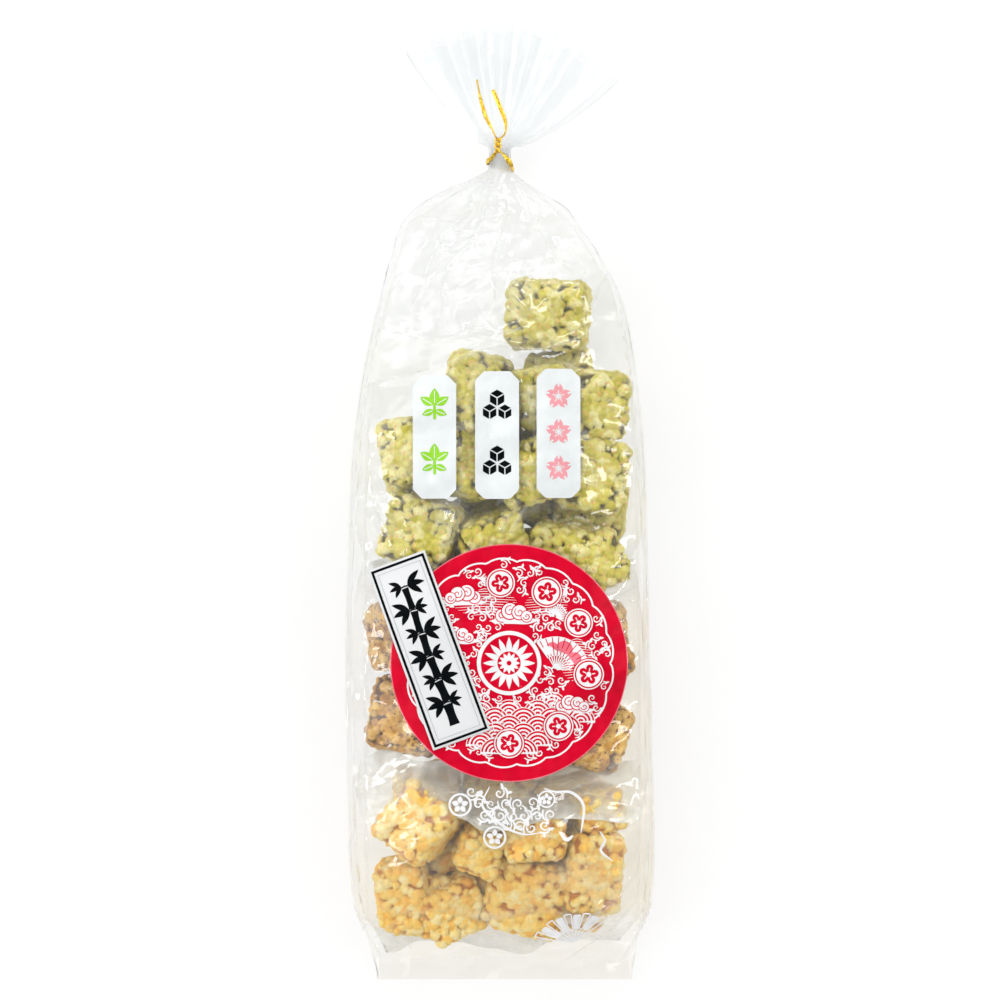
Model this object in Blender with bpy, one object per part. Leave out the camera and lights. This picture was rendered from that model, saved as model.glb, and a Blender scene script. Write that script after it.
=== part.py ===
"""A tied clear bag of puffed rice crackers, lying on its back.

Three solids: the filled bag with its neck and flared top, the twist tie round the neck, and the
paper label stuck slantwise on the front. X runs across the bag, Y along it towards the tied end and
Z up. The origin is on the surface that the bag lies on, under the middle of its length and width.
Lengths in the named values are millimetres, and the meshes are made in metres.
"""

import math

import bmesh
import bpy
import numpy as np

MM = 0.001

# Outline of the bag seen from the front: distance along the bag, left edge, right edge
OUTLINE = np.array(
    (
        (-184.8, -47.4, 51.2),
        (-171.0, -50.7, 53.0),
        (-152.0, -56.4, 58.2),
        (-134.0, -57.8, 59.0),
        (-60.0, -59.0, 57.4),
        (11.5, -57.0, 55.6),
        (42.0, -53.6, 53.0),
        (72.6, -47.6, 48.2),
        (95.5, -41.4, 37.4),
        (106.0, -38.2, 30.0),
        (112.0, -33.0, 26.0),
        (119.0, -22.0, 15.0),
        (124.0, -10.5, 7.6),
        (127.8, -4.4, 4.4),
        (134.0, -4.3, 4.3),
    )
)

# Height of the front film along the middle, over the seal, three bulges of crackers and shoulder
FRONT = np.array(
    (
        (-184.8, 4.4),
        (-177.0, 5.0),
        (-171.0, 9.5),
        (-163.0, 26.0),
        (-153.0, 37.5),
        (-125.0, 45.0),
        (-104.0, 41.5),
        (-92.0, 41.5),
        (-60.0, 46.0),
        (-27.0, 41.0),
        (-16.0, 41.5),
        (20.0, 46.0),
        (58.0, 40.5),
        (80.0, 34.5),
        (98.0, 26.5),
        (112.0, 19.5),
        (121.5, 15.8),
        (127.8, 14.3),
        (134.0, 14.3),
    )
)

# Height of the back film, which lies flat under the crackers and lifts towards seal and neck
BACK = np.array(
    (
        (-184.8, 2.8),
        (-177.0, 2.2),
        (-170.0, 0.4),
        (-164.0, 0.0),
        (98.0, 0.0),
        (112.0, 2.0),
        (121.5, 4.2),
        (127.8, 5.7),
        (134.0, 5.7),
    )
)

NECK_Y = 134.0
NECK_HALF = 4.3
NECK_Z = 10.0
WIDEST_SHARE = 0.45
BODY_SQUARENESS = 3.1
NECK_SQUARENESS = 2.0
FLAT_BACK_DROP = 1.0

# Crackers that push the front film out: across, along
FRONT_CRACKERS = np.array(
    (
        (15.5, 73.0),
        (-8.0, 48.5),
        (38.0, 32.0),
        (13.0, 27.0),
        (38.5, 7.0),
        (-36.5, 20.0),
        (-28.5, -3.0),
        (-2.0, -5.5),
        (22.0, -5.0),
        (-40.0, -55.0),
        (-41.0, -78.0),
        (-12.0, -60.0),
        (16.0, -58.0),
        (42.0, -70.0),
        (-28.0, -122.0),
        (-38.0, -152.0),
        (-10.0, -158.0),
        (12.0, -152.0),
        (14.0, -132.0),
        (36.5, -140.0),
        (38.0, -118.0),
    )
)
LUMP_HEIGHT = 2.0
LUMP_REACH = 11.5

# Pleats that run out of the neck, over the shoulder below it and the flared top above it
SHOULDER_PLEATS = 7.5
SHOULDER_PLEAT_DEPTH = 1.7
SHOULDER_PLEAT_Y = 114.0
SHOULDER_PLEAT_REACH = 17.0
FAN_LENGTH = 50.7
FAN_TURN = math.radians(8.0)
FAN_HALF_ANGLE = math.radians(50.0)
FAN_NECK_HALF_ANGLE = math.radians(62.0)
FAN_PLEATS = 3.4
FAN_PLEAT_DEPTH = 4.6
FAN_CORNER_DROP = 3.6
FAN_HALF_THICKNESS = 1.3
FAN_CORNER_STRETCH = 0.05

POINTS_ROUND = 80
DENSE_POINTS = 721

# Slanted paper label on the front
LABEL_SIZE = (21.4, 72.8)
LABEL_MIDDLE = (-26.9, -56.8)
LABEL_SLANT = math.radians(19.6)
LABEL_GAP = 0.6
LABEL_THICKNESS = 0.5
LABEL_CELLS = (8, 24)

# Twist tie: a flat strip round the neck, twisted together in front, with two free ends
STRIP_WIDTH = 2.4
STRIP_THICKNESS = 0.8
TIE_Y = 130.4
TIE_FRONT_RISE = 4.2
TIE_GAP = 0.6
KNOT_START = (-0.6, 133.6, 16.4)
KNOT_END = (-1.1, 138.4, 17.4)
KNOT_SIZE = (2.6, 1.9)
KNOT_TURNS = 1.5
LEFT_END = ((-1.1, 137.6, 17.4), (-3.4, 142.7, 18.6), (-5.7, 147.3, 19.6), (-7.6, 154.1, 20.8),
            (-8.8, 160.6, 21.4))
RIGHT_END = ((-1.0, 137.6, 17.4), (1.9, 140.4, 18.2), (2.1, 144.6, 19.2), (0.2, 149.8, 20.2),
             (-2.7, 156.8, 21.0))
END_WIDTH = 1.6
END_THICKNESS = 0.9
TIE_STEPS = 44


def clear_scene():
    """Removes every object that the file opened with."""
    for old in list(bpy.data.objects):
        bpy.data.objects.remove(old, do_unlink=True)


def ease(share):
    """Smooth step from 0 to 1."""
    share = np.clip(share, 0.0, 1.0)
    return share * share * (3.0 - 2.0 * share)


def curve_through(rows, column, at):
    """Monotone cubic through the rows' (first, column) values, which never overshoots a point."""
    x, y = rows[:, 0], rows[:, column]
    step = np.diff(x)
    slope = np.diff(y) / step
    tangent = np.zeros_like(y)
    same_way = slope[:-1] * slope[1:] > 0
    left, right = 2 * step[1:] + step[:-1], step[1:] + 2 * step[:-1]
    with np.errstate(divide="ignore", invalid="ignore"):
        mean = (left + right) / (left / slope[:-1] + right / slope[1:])
    tangent[1:-1] = np.where(same_way, mean, 0.0)
    at = np.clip(at, x[0], x[-1])
    cell = np.clip(np.searchsorted(x, at, side="right") - 1, 0, len(step) - 1)
    width = step[cell]
    share = (at - x[cell]) / width
    rise = (2 * share**3 - 3 * share**2 + 1) * y[cell] + (3 * share**2 - 2 * share**3) * y[cell + 1]
    bend = (share**3 - 2 * share**2 + share) * tangent[cell] + (share**3 - share**2) * tangent[cell + 1]
    return rise + width * bend


def squareness(along):
    """Exponent of the superellipse that a section follows: boxy where it is full, round at the neck."""
    return BODY_SQUARENESS + (NECK_SQUARENESS - BODY_SQUARENESS) * ease((along - 88.0) / 38.0)


def fan_share(along):
    """0 at the neck and 1 at the rim of the flared top."""
    return np.clip((along - NECK_Y) / FAN_LENGTH, 0.0, 1.0)


def half_angle(along):
    """Half of the angle that a section fans out over, 0 in the body."""
    spread = FAN_NECK_HALF_ANGLE + (FAN_HALF_ANGLE - FAN_NECK_HALF_ANGLE) * fan_share(along)
    return spread * ease((along - 131.0) / 11.0)


def half_length(along):
    """Half of a section's length across the bag, measured along its arc."""
    body = (curve_through(OUTLINE, 2, along) - curve_through(OUTLINE, 1, along)) / 2
    reach = half_angle(along) * np.maximum(along - NECK_Y + 1.2, 0.0)
    return np.where(along > NECK_Y, np.hypot(NECK_HALF, reach), body)


def front_relief(across, side, along):
    """How far crackers and pleats push the front film out. side runs from -1 to 1 across the bag."""
    away = (across[..., None] - FRONT_CRACKERS[:, 0]) ** 2 + (along[..., None] - FRONT_CRACKERS[:, 1]) ** 2
    lumps = LUMP_HEIGHT * np.exp(-away / LUMP_REACH**2).sum(-1)
    return lumps + shoulder_pleats(side, along)


def shoulder_pleats(side, along):
    """Folds that run from the neck down over the shoulder and die out on the body."""
    reach = np.where(along > SHOULDER_PLEAT_Y, 9.0, SHOULDER_PLEAT_REACH)
    fade = np.exp(-(((along - SHOULDER_PLEAT_Y) / reach) ** 2))
    wave = np.sin(SHOULDER_PLEATS * side + 1.9 * np.sin(2.1 * side) + 0.7)
    return SHOULDER_PLEAT_DEPTH * fade * wave * (1.0 - side**4)


def fan_lift(side, along):
    """Height of the flared top's middle sheet: sharp pleats that deepen towards the rim."""
    share = fan_share(along)
    phase = 2 * math.pi * (FAN_PLEATS * side + 0.22 * np.sin(3.1 * side + 0.6)) + 0.9
    wave = 2 / math.pi * np.arcsin(0.96 * np.sin(phase))
    depth = FAN_PLEAT_DEPTH * share**0.9 * (1.0 - 0.35 * side**2)
    return depth * wave - FAN_CORNER_DROP * side**2 * ease(share)


def section(along, points_half):
    """Points round one closed section: from its right edge over the front to the left, and back under it."""
    along = float(along)
    power = 2.0 / squareness(along)
    turn = np.linspace(0.0, math.pi, DENSE_POINTS)
    side = np.sign(np.cos(turn)) * np.abs(np.cos(turn)) ** power
    lift = np.sin(turn).clip(0.0) ** power
    length = half_length(along)
    front, back = curve_through(FRONT, 1, along), curve_through(BACK, 1, along)
    share = fan_share(along)
    middle = back + WIDEST_SHARE * (front - back)
    thin = FAN_HALF_THICKNESS + (NECK_HALF - FAN_HALF_THICKNESS) * (1.0 - share) ** 3
    rings = []
    for is_front in (True, False):
        depth = (front - middle) if is_front else (middle - back)
        if along > NECK_Y:
            depth = thin
        run = np.hypot(np.diff(side) * length, np.diff(lift) * depth)
        run = np.concatenate(([0.0], np.cumsum(run)))
        at = np.linspace(0.0, run[-1], points_half + 1)
        s, k = np.interp(at, run, side), np.interp(at, run, lift)
        if not is_front:
            s, k = s[::-1], k[::-1]
        across = (curve_through(OUTLINE, 1, along) + curve_through(OUTLINE, 2, along)) / 2 + length * s
        if along > NECK_Y:
            height = NECK_Z + fan_lift(s, along) + (depth * k if is_front else -depth * k)
        elif is_front:
            height = middle + depth * k + front_relief(across, s, np.full_like(s, along)) * k**2
        else:
            height = middle - depth * k - shoulder_pleats(-s, along) * k**2 * ease((along - 96.0) / 20.0)
            flat = np.maximum(height - FLAT_BACK_DROP, 0.0)
            height = np.where(back < 0.01, flat, height)
        rings.append(np.stack(place(s, length, along) + (height,), axis=-1)[:-1])
    return np.concatenate(rings)


def place(side, length, along):
    """Across and along of points at side (-1 to 1) of a section, bent into an arc in the flared top."""
    angle = half_angle(along)
    middle = (curve_through(OUTLINE, 1, along) + curve_through(OUTLINE, 2, along)) / 2
    if angle < 1e-6:
        return middle + length * side, np.full_like(side, along)
    stretch = 1.0 + FAN_CORNER_STRETCH * side**2 * fan_share(along)
    across = length * np.sin(angle * side) / angle * stretch
    out = along - NECK_Y - length * (1.0 - np.cos(angle * side) * stretch) / angle
    turn = FAN_TURN * ease((along - NECK_Y) / 14.0)
    return (
        middle + across * math.cos(turn) + out * math.sin(turn),
        NECK_Y + out * math.cos(turn) - across * math.sin(turn),
    )


def front_height(across, along):
    """Height of the front film at points of the body."""
    left, right = curve_through(OUTLINE, 1, along), curve_through(OUTLINE, 2, along)
    side = (across - (left + right) / 2) / ((right - left) / 2)
    front, back = curve_through(FRONT, 1, along), curve_through(BACK, 1, along)
    middle = back + WIDEST_SHARE * (front - back)
    power = squareness(along)
    lift = (1.0 - np.abs(side).clip(0, 1) ** power) ** (1.0 / power)
    return middle + (front - middle) * lift + front_relief(across, side, along) * lift**2


def stations():
    """Distances along the bag at which it gets a section: close where its form changes quickly."""
    seal = np.linspace(-184.8, -171.0, 4)
    end = np.linspace(-168.0, -150.0, 6)
    body = np.linspace(-143.5, 94.0, 36)
    shoulder = np.linspace(99.0, 124.5, 8)
    neck = np.linspace(127.3, 138.4, 7)
    fan = NECK_Y + FAN_LENGTH * np.linspace(0.14, 1.0, 9)
    return np.concatenate((seal, end, body, shoulder, neck, fan))


def object_from(name, bm, material, sharp_deg=50.0):
    """Makes a named object of a bmesh, shaded smooth except over sharp edges."""
    bmesh.ops.recalc_face_normals(bm, faces=bm.faces)
    mesh = bpy.data.meshes.new(name)
    bm.to_mesh(mesh)
    bm.free()
    mesh.shade_smooth()
    mesh.set_sharp_from_angle(angle=math.radians(sharp_deg))
    made = bpy.data.objects.new(name, mesh)
    bpy.context.scene.collection.objects.link(made)
    mesh.materials.append(material)
    return made


def loft(rings):
    """A bmesh with a skin over rings of equal counts of points, both ends still open."""
    bm = bmesh.new()
    loops = [[bm.verts.new(point) for point in (ring * MM).tolist()] for ring in rings]
    for low, high in zip(loops, loops[1:]):
        for i in range(len(low)):
            j = (i + 1) % len(low)
            bm.faces.new((low[i], low[j], high[j], high[i]))
    return bm, loops


def close_flat_end(bm, loop):
    """Closes a flattened ring by a ladder of faces between its front and its back."""
    count = len(loop)
    for i in range(1, count // 2):
        last, other = loop[i - 1], loop[(count - i + 1) % count]
        corners = [last, loop[i], loop[count - i]]
        if other is not last:
            corners.append(other)
        bm.faces.new(corners)
    half = count // 2
    bm.faces.new((loop[half - 1], loop[half], loop[half + 1]))


def make_bag(material):
    """The filled bag: seal, body, shoulder, neck and pleated flared top as one skin."""
    rings = [section(along, POINTS_ROUND // 2) for along in stations()]
    bm, loops = loft(rings)
    close_flat_end(bm, loops[0])
    close_flat_end(bm, loops[-1])
    return object_from("bag", bm, material, sharp_deg=35.0)


def make_label(material):
    """The paper label: a thin sheet that follows the front film, turned by its slant."""
    across, down = np.meshgrid(
        np.linspace(-0.5, 0.5, LABEL_CELLS[0] + 1) * LABEL_SIZE[0],
        np.linspace(-0.5, 0.5, LABEL_CELLS[1] + 1) * LABEL_SIZE[1],
    )
    x = LABEL_MIDDLE[0] + across * math.cos(LABEL_SLANT) - down * math.sin(LABEL_SLANT)
    y = LABEL_MIDDLE[1] + across * math.sin(LABEL_SLANT) + down * math.cos(LABEL_SLANT)
    under = front_height(x, y) + LABEL_GAP
    bm = bmesh.new()
    sheets = []
    for height in (under, under + LABEL_THICKNESS):
        points = np.stack((x, y, height), axis=-1) * MM
        sheets.append([[bm.verts.new(point) for point in row] for row in points.tolist()])
    low, high = sheets
    rows, columns = len(low), len(low[0])
    for r in range(rows - 1):
        for c in range(columns - 1):
            bm.faces.new((high[r][c], high[r][c + 1], high[r + 1][c + 1], high[r + 1][c]))
            bm.faces.new((low[r][c], low[r + 1][c], low[r + 1][c + 1], low[r][c + 1]))
    border = [(0, c) for c in range(columns)] + [(r, columns - 1) for r in range(1, rows)]
    border += [(rows - 1, c) for c in range(columns - 2, -1, -1)] + [(r, 0) for r in range(rows - 2, 0, -1)]
    for (r, c), (r2, c2) in zip(border, border[1:] + border[:1]):
        bm.faces.new((low[r][c], low[r2][c2], high[r2][c2], high[r][c]))
    return object_from("label", bm, material, sharp_deg=30.0)


def smooth_path(points, steps):
    """Even points on a Catmull-Rom curve through the given ones."""
    knots = np.array(points, float)
    knots = np.vstack((2 * knots[0] - knots[1], knots, 2 * knots[-1] - knots[-2]))
    spans = len(knots) - 3
    at = np.linspace(0.0, spans - 1e-9, steps)
    cell, share = at.astype(int), (at % 1.0)[:, None]
    a, b, c, d = (knots[cell + i] for i in range(4))
    return 0.5 * (
        2 * b + (c - a) * share + (2 * a - 5 * b + 4 * c - d) * share**2 + (3 * b - a - 3 * c + d) * share**3
    )


def strip_rings(path, width, thickness, flat_normals):
    """Rectangular rings along a path, each lying flat against its normal."""
    ahead = np.gradient(path, axis=0)
    ahead /= np.linalg.norm(ahead, axis=1, keepdims=True)
    across = np.cross(ahead, flat_normals)
    across /= np.linalg.norm(across, axis=1, keepdims=True)
    up = np.cross(across, ahead)
    corners = ((1, 1), (-1, 1), (-1, -1), (1, -1))
    return [
        np.array([p + c * width / 2 * w + d * thickness / 2 * u for c, d in corners])
        for p, w, u in zip(path, across, up)
    ]


def add_strip(collection, name, path, size, normals, closed=False):
    """A strip of rectangular section along a path, as a helper object for the tie's union."""
    rings = strip_rings(path, size[0], size[1], normals)
    bm, loops = loft(rings + rings[:1] if closed else rings)
    if closed:
        bmesh.ops.remove_doubles(bm, verts=bm.verts, dist=1e-6)
    else:
        bm.faces.new(loops[0])
        bm.faces.new(loops[-1])
    bmesh.ops.recalc_face_normals(bm, faces=bm.faces)
    mesh = bpy.data.meshes.new(name)
    bm.to_mesh(mesh)
    bm.free()
    collection.objects.link(bpy.data.objects.new(name, mesh))


def turned_normals(count, start, turns):
    """Normals that turn about the Y axis, so that a strip along it is twisted."""
    angle = start + np.linspace(0.0, 2 * math.pi * turns, count)
    return np.stack((np.sin(angle), np.zeros(count), np.cos(angle)), axis=-1)


def make_tie(material):
    """The twist tie: loop, twisted knot and two free ends, joined into one solid."""
    collection = bpy.data.collections.new("tie pieces")
    bpy.context.scene.collection.children.link(collection)
    turn = np.linspace(0.0, 2 * math.pi, TIE_STEPS, endpoint=False)
    radius = NECK_HALF + TIE_GAP + STRIP_THICKNESS / 2
    rise = TIE_FRONT_RISE * np.sin(turn).clip(0.0) ** 2
    reach = radius + 1.3 * np.sin(turn).clip(0.0) ** 6
    outward = np.stack((np.cos(turn), np.zeros_like(turn), np.sin(turn)), axis=-1)
    loop = outward * reach[:, None] + np.stack((0 * turn, TIE_Y + rise, NECK_Z + 0 * turn), axis=-1)
    padded = np.vstack((loop[-1:], loop, loop[:1]))
    rings = strip_rings(padded, STRIP_WIDTH, STRIP_THICKNESS, np.vstack((outward[-1:], outward, outward[:1])))
    bm, _ = loft(rings[1:-1] + rings[1:2])
    bmesh.ops.remove_doubles(bm, verts=bm.verts, dist=1e-6)
    tie = object_from("twist_tie", bm, material, sharp_deg=40.0)
    knot = smooth_path((KNOT_START, KNOT_END), 14)
    add_strip(collection, "knot", knot, KNOT_SIZE, turned_normals(14, 0.3, KNOT_TURNS))
    free_ends = (("left end", LEFT_END, 0.9, 0.30), ("right end", RIGHT_END, -0.8, -0.28))
    for name, ends, start, turns in free_ends:
        path = smooth_path(ends, 16)
        add_strip(collection, name, path, (END_WIDTH, END_THICKNESS), turned_normals(16, start, turns))
    union = tie.modifiers.new("join", "BOOLEAN")
    union.operation = "UNION"
    union.operand_type = "COLLECTION"
    union.collection = collection
    union.solver = "EXACT"
    bake_modifiers(tie)
    for helper in list(collection.objects):
        bpy.data.objects.remove(helper, do_unlink=True)
    bpy.data.collections.remove(collection)
    return tie


def bake_modifiers(made):
    """Replaces an object's mesh by the one its modifiers give."""
    bpy.context.view_layer.update()
    graph = bpy.context.evaluated_depsgraph_get()
    mesh = bpy.data.meshes.new_from_object(made.evaluated_get(graph))
    made.modifiers.clear()
    made.data = mesh


def finish(name, colour, roughness, metallic=0.0, alpha=1.0):
    """A plain material of the piece's colour."""
    material = bpy.data.materials.new(name)
    material.use_nodes = True
    shader = material.node_tree.nodes["Principled BSDF"]
    shader.inputs["Base Color"].default_value = (*colour, 1.0)
    shader.inputs["Roughness"].default_value = roughness
    shader.inputs["Metallic"].default_value = metallic
    shader.inputs["Alpha"].default_value = alpha
    return material


def main():
    """Builds the three solids."""
    clear_scene()
    make_bag(finish("clear film over crackers", (0.80, 0.76, 0.60), 0.18))
    make_label(finish("white paper", (0.90, 0.91, 0.92), 0.5))
    make_tie(finish("gold foil", (0.85, 0.62, 0.12), 0.28, metallic=1.0))


main()
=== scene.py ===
"""Looks of a tied clear bag of puffed rice crackers that lies on its back.

The outer film, three crinkled inner bags, the crackers of three flavours, the prints on the film, a
slanted paper label and a gold twist tie are surfaces worked out on grids. Lengths are millimetres
until a mesh is made, X runs across the bag, Y towards its tied end and Z up out of its front.
"""

import logging
import math
from collections.abc import Callable, Sequence
from dataclasses import dataclass, field
from enum import Enum

import bpy
import numpy as np
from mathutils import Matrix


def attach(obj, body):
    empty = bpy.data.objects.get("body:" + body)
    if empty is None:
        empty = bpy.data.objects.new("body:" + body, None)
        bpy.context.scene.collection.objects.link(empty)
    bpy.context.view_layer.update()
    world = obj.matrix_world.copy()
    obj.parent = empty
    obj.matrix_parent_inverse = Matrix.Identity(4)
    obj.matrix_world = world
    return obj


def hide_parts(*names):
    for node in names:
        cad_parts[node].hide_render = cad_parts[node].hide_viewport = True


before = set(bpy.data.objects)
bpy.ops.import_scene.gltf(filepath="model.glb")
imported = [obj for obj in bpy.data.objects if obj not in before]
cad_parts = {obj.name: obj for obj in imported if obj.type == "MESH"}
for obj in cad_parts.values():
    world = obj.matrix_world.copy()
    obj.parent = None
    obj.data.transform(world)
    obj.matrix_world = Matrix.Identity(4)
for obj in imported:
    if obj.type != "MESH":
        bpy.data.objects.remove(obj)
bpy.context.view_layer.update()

MM = 0.001
TAU = 2.0 * math.pi
BODY = "root"
LOG = logging.getLogger("cracker_bag")
BAG_SLOT = "film_and_crackers"
Array = np.ndarray
Material = bpy.types.Material
Pair = tuple[float, float]
Triple = tuple[float, float, float]


def ease(share: Array) -> Array:
    """Smooth step: 0 below 0, 1 above 1, and 3t^2 - 2t^3 between."""
    share = np.clip(share, 0.0, 1.0)
    return share * share * (3.0 - 2.0 * share)


def through(rows: Sequence[tuple[float, ...]], column: int, at: Array) -> Array:
    """Reads a smooth curve through the rows' (first, column) values.

    Formula: a cubic Hermite curve whose slope at each row is the harmonic mean of the slopes on
    both sides, or 0 where they differ in sign, so that it never overshoots a row.

    Args:
        rows: rows in rising order of their first value.
        column: which value of a row the curve gives.
        at: where it is read, clipped to the rows' range.

    Returns:
        The curve's values, in the shape of at.
    """
    table = np.array(rows, float)
    x, y = table[:, 0], table[:, column]
    step = np.diff(x)
    slope = np.diff(y) / step
    left, right = 2 * step[1:] + step[:-1], step[1:] + 2 * step[:-1]
    with np.errstate(divide="ignore", invalid="ignore"):
        mean = (left + right) / (left / slope[:-1] + right / slope[1:])
    tangent = np.zeros_like(y)
    tangent[1:-1] = np.where(slope[:-1] * slope[1:] > 0, mean, 0.0)
    at = np.clip(np.asarray(at, float), x[0], x[-1])
    cell = np.clip(np.searchsorted(x, at, side="right") - 1, 0, len(step) - 1)
    width = step[cell]
    t = (at - x[cell]) / width
    value = (2 * t**3 - 3 * t**2 + 1) * y[cell] + (3 * t**2 - 2 * t**3) * y[cell + 1]
    bend = (t**3 - 2 * t**2 + t) * tangent[cell] + (t**3 - t**2) * tangent[cell + 1]
    return value + width * bend


def turned(points: Array, angle: float) -> Array:
    """Flat points (n, 2) turned anticlockwise about the origin."""
    c, s = math.cos(angle), math.sin(angle)
    return points @ np.array(((c, s), (-s, c)))


def even_steps(line: Array, step: float) -> Array:
    """Points at even distances along a line, no further apart than a step.

    Args:
        line: the line's points, (n, 2) or (n, 3).
        step: largest distance between two of the points returned.

    Returns:
        At least two points from the line's start to its end.
    """
    run = np.concatenate(([0.0], np.cumsum(np.linalg.norm(np.diff(line, axis=0), axis=1))))
    at = np.linspace(0.0, run[-1], max(2, int(math.ceil(run[-1] / step)) + 1))
    return np.stack([np.interp(at, run, line[:, i]) for i in range(line.shape[1])], axis=1)


def smooth_line(points: Sequence[tuple[float, ...]], steps: int) -> Array:
    """Points on a Catmull-Rom curve through the given ones, the same number on each span."""
    knots = np.array(points, float)
    knots = np.vstack((2 * knots[0] - knots[1], knots, 2 * knots[-1] - knots[-2]))
    at = np.linspace(0.0, len(knots) - 3 - 1e-9, steps)
    cell, t = at.astype(int), (at % 1.0)[:, None]
    a, b, c, d = (knots[cell + i] for i in range(4))
    return 0.5 * (
        2 * b + (c - a) * t + (2 * a - 5 * b + 4 * c - d) * t**2 + (3 * b - a - 3 * c + d) * t**3
    )


def grid_quads(rows: int, columns: int, wrap: bool = False) -> Array:
    """Quads of a grid of points numbered row by row. With wrap, the last column joins the first."""
    index = np.arange(rows * columns).reshape(rows, columns)
    left = index if wrap else index[:, :-1]
    right = np.roll(index, -1, axis=1) if wrap else index[:, 1:]
    return np.stack((left[:-1], right[:-1], right[1:], left[1:]), axis=-1).reshape(-1, 4)


def as_triangles(quads: Array) -> Array:
    """Two triangles for each quad."""
    return np.concatenate((quads[:, (0, 1, 2)], quads[:, (0, 2, 3)]))


def sleeve_of(front: Array, back: Array) -> tuple[Array, Array]:
    """Rings of a sleeve out of its front and back halves, both (rows, columns, values), and its quads."""
    ring = np.concatenate((front, back[:, ::-1][:, 1:-1]), axis=1)
    return ring, grid_quads(ring.shape[0], ring.shape[1], wrap=True)[:, ::-1]


def joined(parts: Sequence[tuple[Array, Array]]) -> tuple[Array, Array]:
    """Several surfaces' points stacked into one, and their faces numbered to match."""
    starts = np.cumsum([0] + [len(points) for points, _ in parts])
    faces = [part[1] + start for part, start in zip(parts, starts)]
    return np.vstack([points for points, _ in parts]), np.vstack(faces)


def polar(radius: Array | float, angle: Array) -> Array:
    """Flat points (n, 2) at a radius and angles about the origin."""
    return np.stack((radius * np.cos(angle), radius * np.sin(angle)), axis=1)


def unit(vectors: Array, least: float = 0.0) -> Array:
    """Vectors (n, k) at length 1. With least, a shorter one is divided by that instead."""
    return vectors / np.maximum(np.linalg.norm(vectors, axis=1, keepdims=True), least)


def triangle_wave(phase: Array) -> Array:
    """Wave from -0.5 to 0.5 that rises and falls in straight lines, once for each 1 of its phase."""
    return 2.0 * np.abs(phase % 1.0 - 0.5) - 0.5


@dataclass(frozen=True)
class Noise:
    """Smooth random values from -1 to 1 over the plane.

    Formula: seeded random values on the corners of square cells, blended inside a cell by the
    quintic 6t^5 - 15t^4 + 10t^3 along both directions.
    """

    seed: int
    cell: float
    size: int = 256

    def at(self, x: Array, y: Array) -> Array:
        """Values at points x, y in mm."""
        table = np.random.default_rng(self.seed).uniform(-1.0, 1.0, (self.size, self.size))
        u, v = x / self.cell + 7.3, y / self.cell + 3.1
        iu, iv = np.floor(u).astype(int), np.floor(v).astype(int)
        tu, tv = u - iu, v - iv
        tu = tu**3 * (tu * (tu * 6 - 15) + 10)
        tv = tv**3 * (tv * (tv * 6 - 15) + 10)
        a, b = iu % self.size, (iu + 1) % self.size
        c, d = iv % self.size, (iv + 1) % self.size
        low = table[c, a] * (1 - tu) + table[c, b] * tu
        high = table[d, a] * (1 - tu) + table[d, b] * tu
        return low * (1 - tv) + high * tv


def crinkle(x: Array, y: Array, seed: int, cell: float, sharpness: float = 2.2) -> Array:
    """Height pattern of crumpled film, from about -0.5 to 0.5.

    Formula: ridges 1 - |noise| raised to a power, where the plane is first pushed about by a
    slower noise so that the ridges bend, in two sizes of which the finer has half the height.
    """
    push_x = Noise(seed, cell * 2.3).at(x, y) * cell * 0.9
    push_y = Noise(seed + 1, cell * 2.1).at(x, y) * cell * 0.9
    coarse = (1 - np.abs(Noise(seed + 2, cell).at(x + push_x, y + push_y))) ** sharpness
    fine = (1 - np.abs(Noise(seed + 3, cell * 0.47).at(x - push_y, y + push_x))) ** sharpness
    return (coarse + 0.5 * fine) / 1.5 - 0.5


def folds_in_facets(x: Array, y: Array, seed: int, size: float, slope: float) -> Array:
    """Height of film that is folded into flat facets with straight creases between them.

    Formula: the sum of five triangle waves of random directions and of lengths from 0.7 to 1.8 times
    the size, each wave's sides rising by the slope, over a plane that a slow noise pushes about. Each
    wave comes and goes with a slow noise of its own. The sum is divided by the root of five.
    """
    rng = np.random.default_rng(seed)
    push = Noise(seed + 1, size * 1.7).at(x, y) * size * 0.4
    shove = Noise(seed + 2, size * 1.9).at(x, y) * size * 0.4
    total = np.zeros_like(x)
    for k in range(5):
        angle, length = rng.uniform(0.0, math.pi), size * rng.uniform(0.7, 1.8)
        along = ((x + push) * math.cos(angle) + (y + shove) * math.sin(angle)) / length + rng.uniform()
        strength = ease(0.55 + 0.9 * Noise(seed + 10 + k, size * 1.5).at(x, y))
        total += triangle_wave(along) * strength * length * slope / 2
    return total / math.sqrt(5.0)


def gathers(x: Array, y: Array, neck_y: float, slope: float) -> Array:
    """Height of folds that run out from the neck, wider and higher with their distance from it.

    Formula: triangle waves over the angle about the neck's middle, times the distance from it.
    """
    away = np.hypot(x, neck_y - y)
    angle = np.arctan2(x, np.maximum(neck_y - y, 1e-3))
    bent = angle + 0.10 * Noise(601, 24.0).at(x, y) + 0.05 * Noise(602, 9.0).at(x, y)
    total = np.zeros_like(x)
    for folds, phase, share in ((1.1, 0.2, 1.0), (2.3, 0.55, 0.8), (4.1, 0.1, 0.55), (7.3, 0.8, 0.35)):
        total += triangle_wave(bent * folds + phase) * share * away * slope / (2.0 * folds)
    return total * np.exp(-((np.maximum(away - 30.0, 0.0) / 34.0) ** 2))


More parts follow.
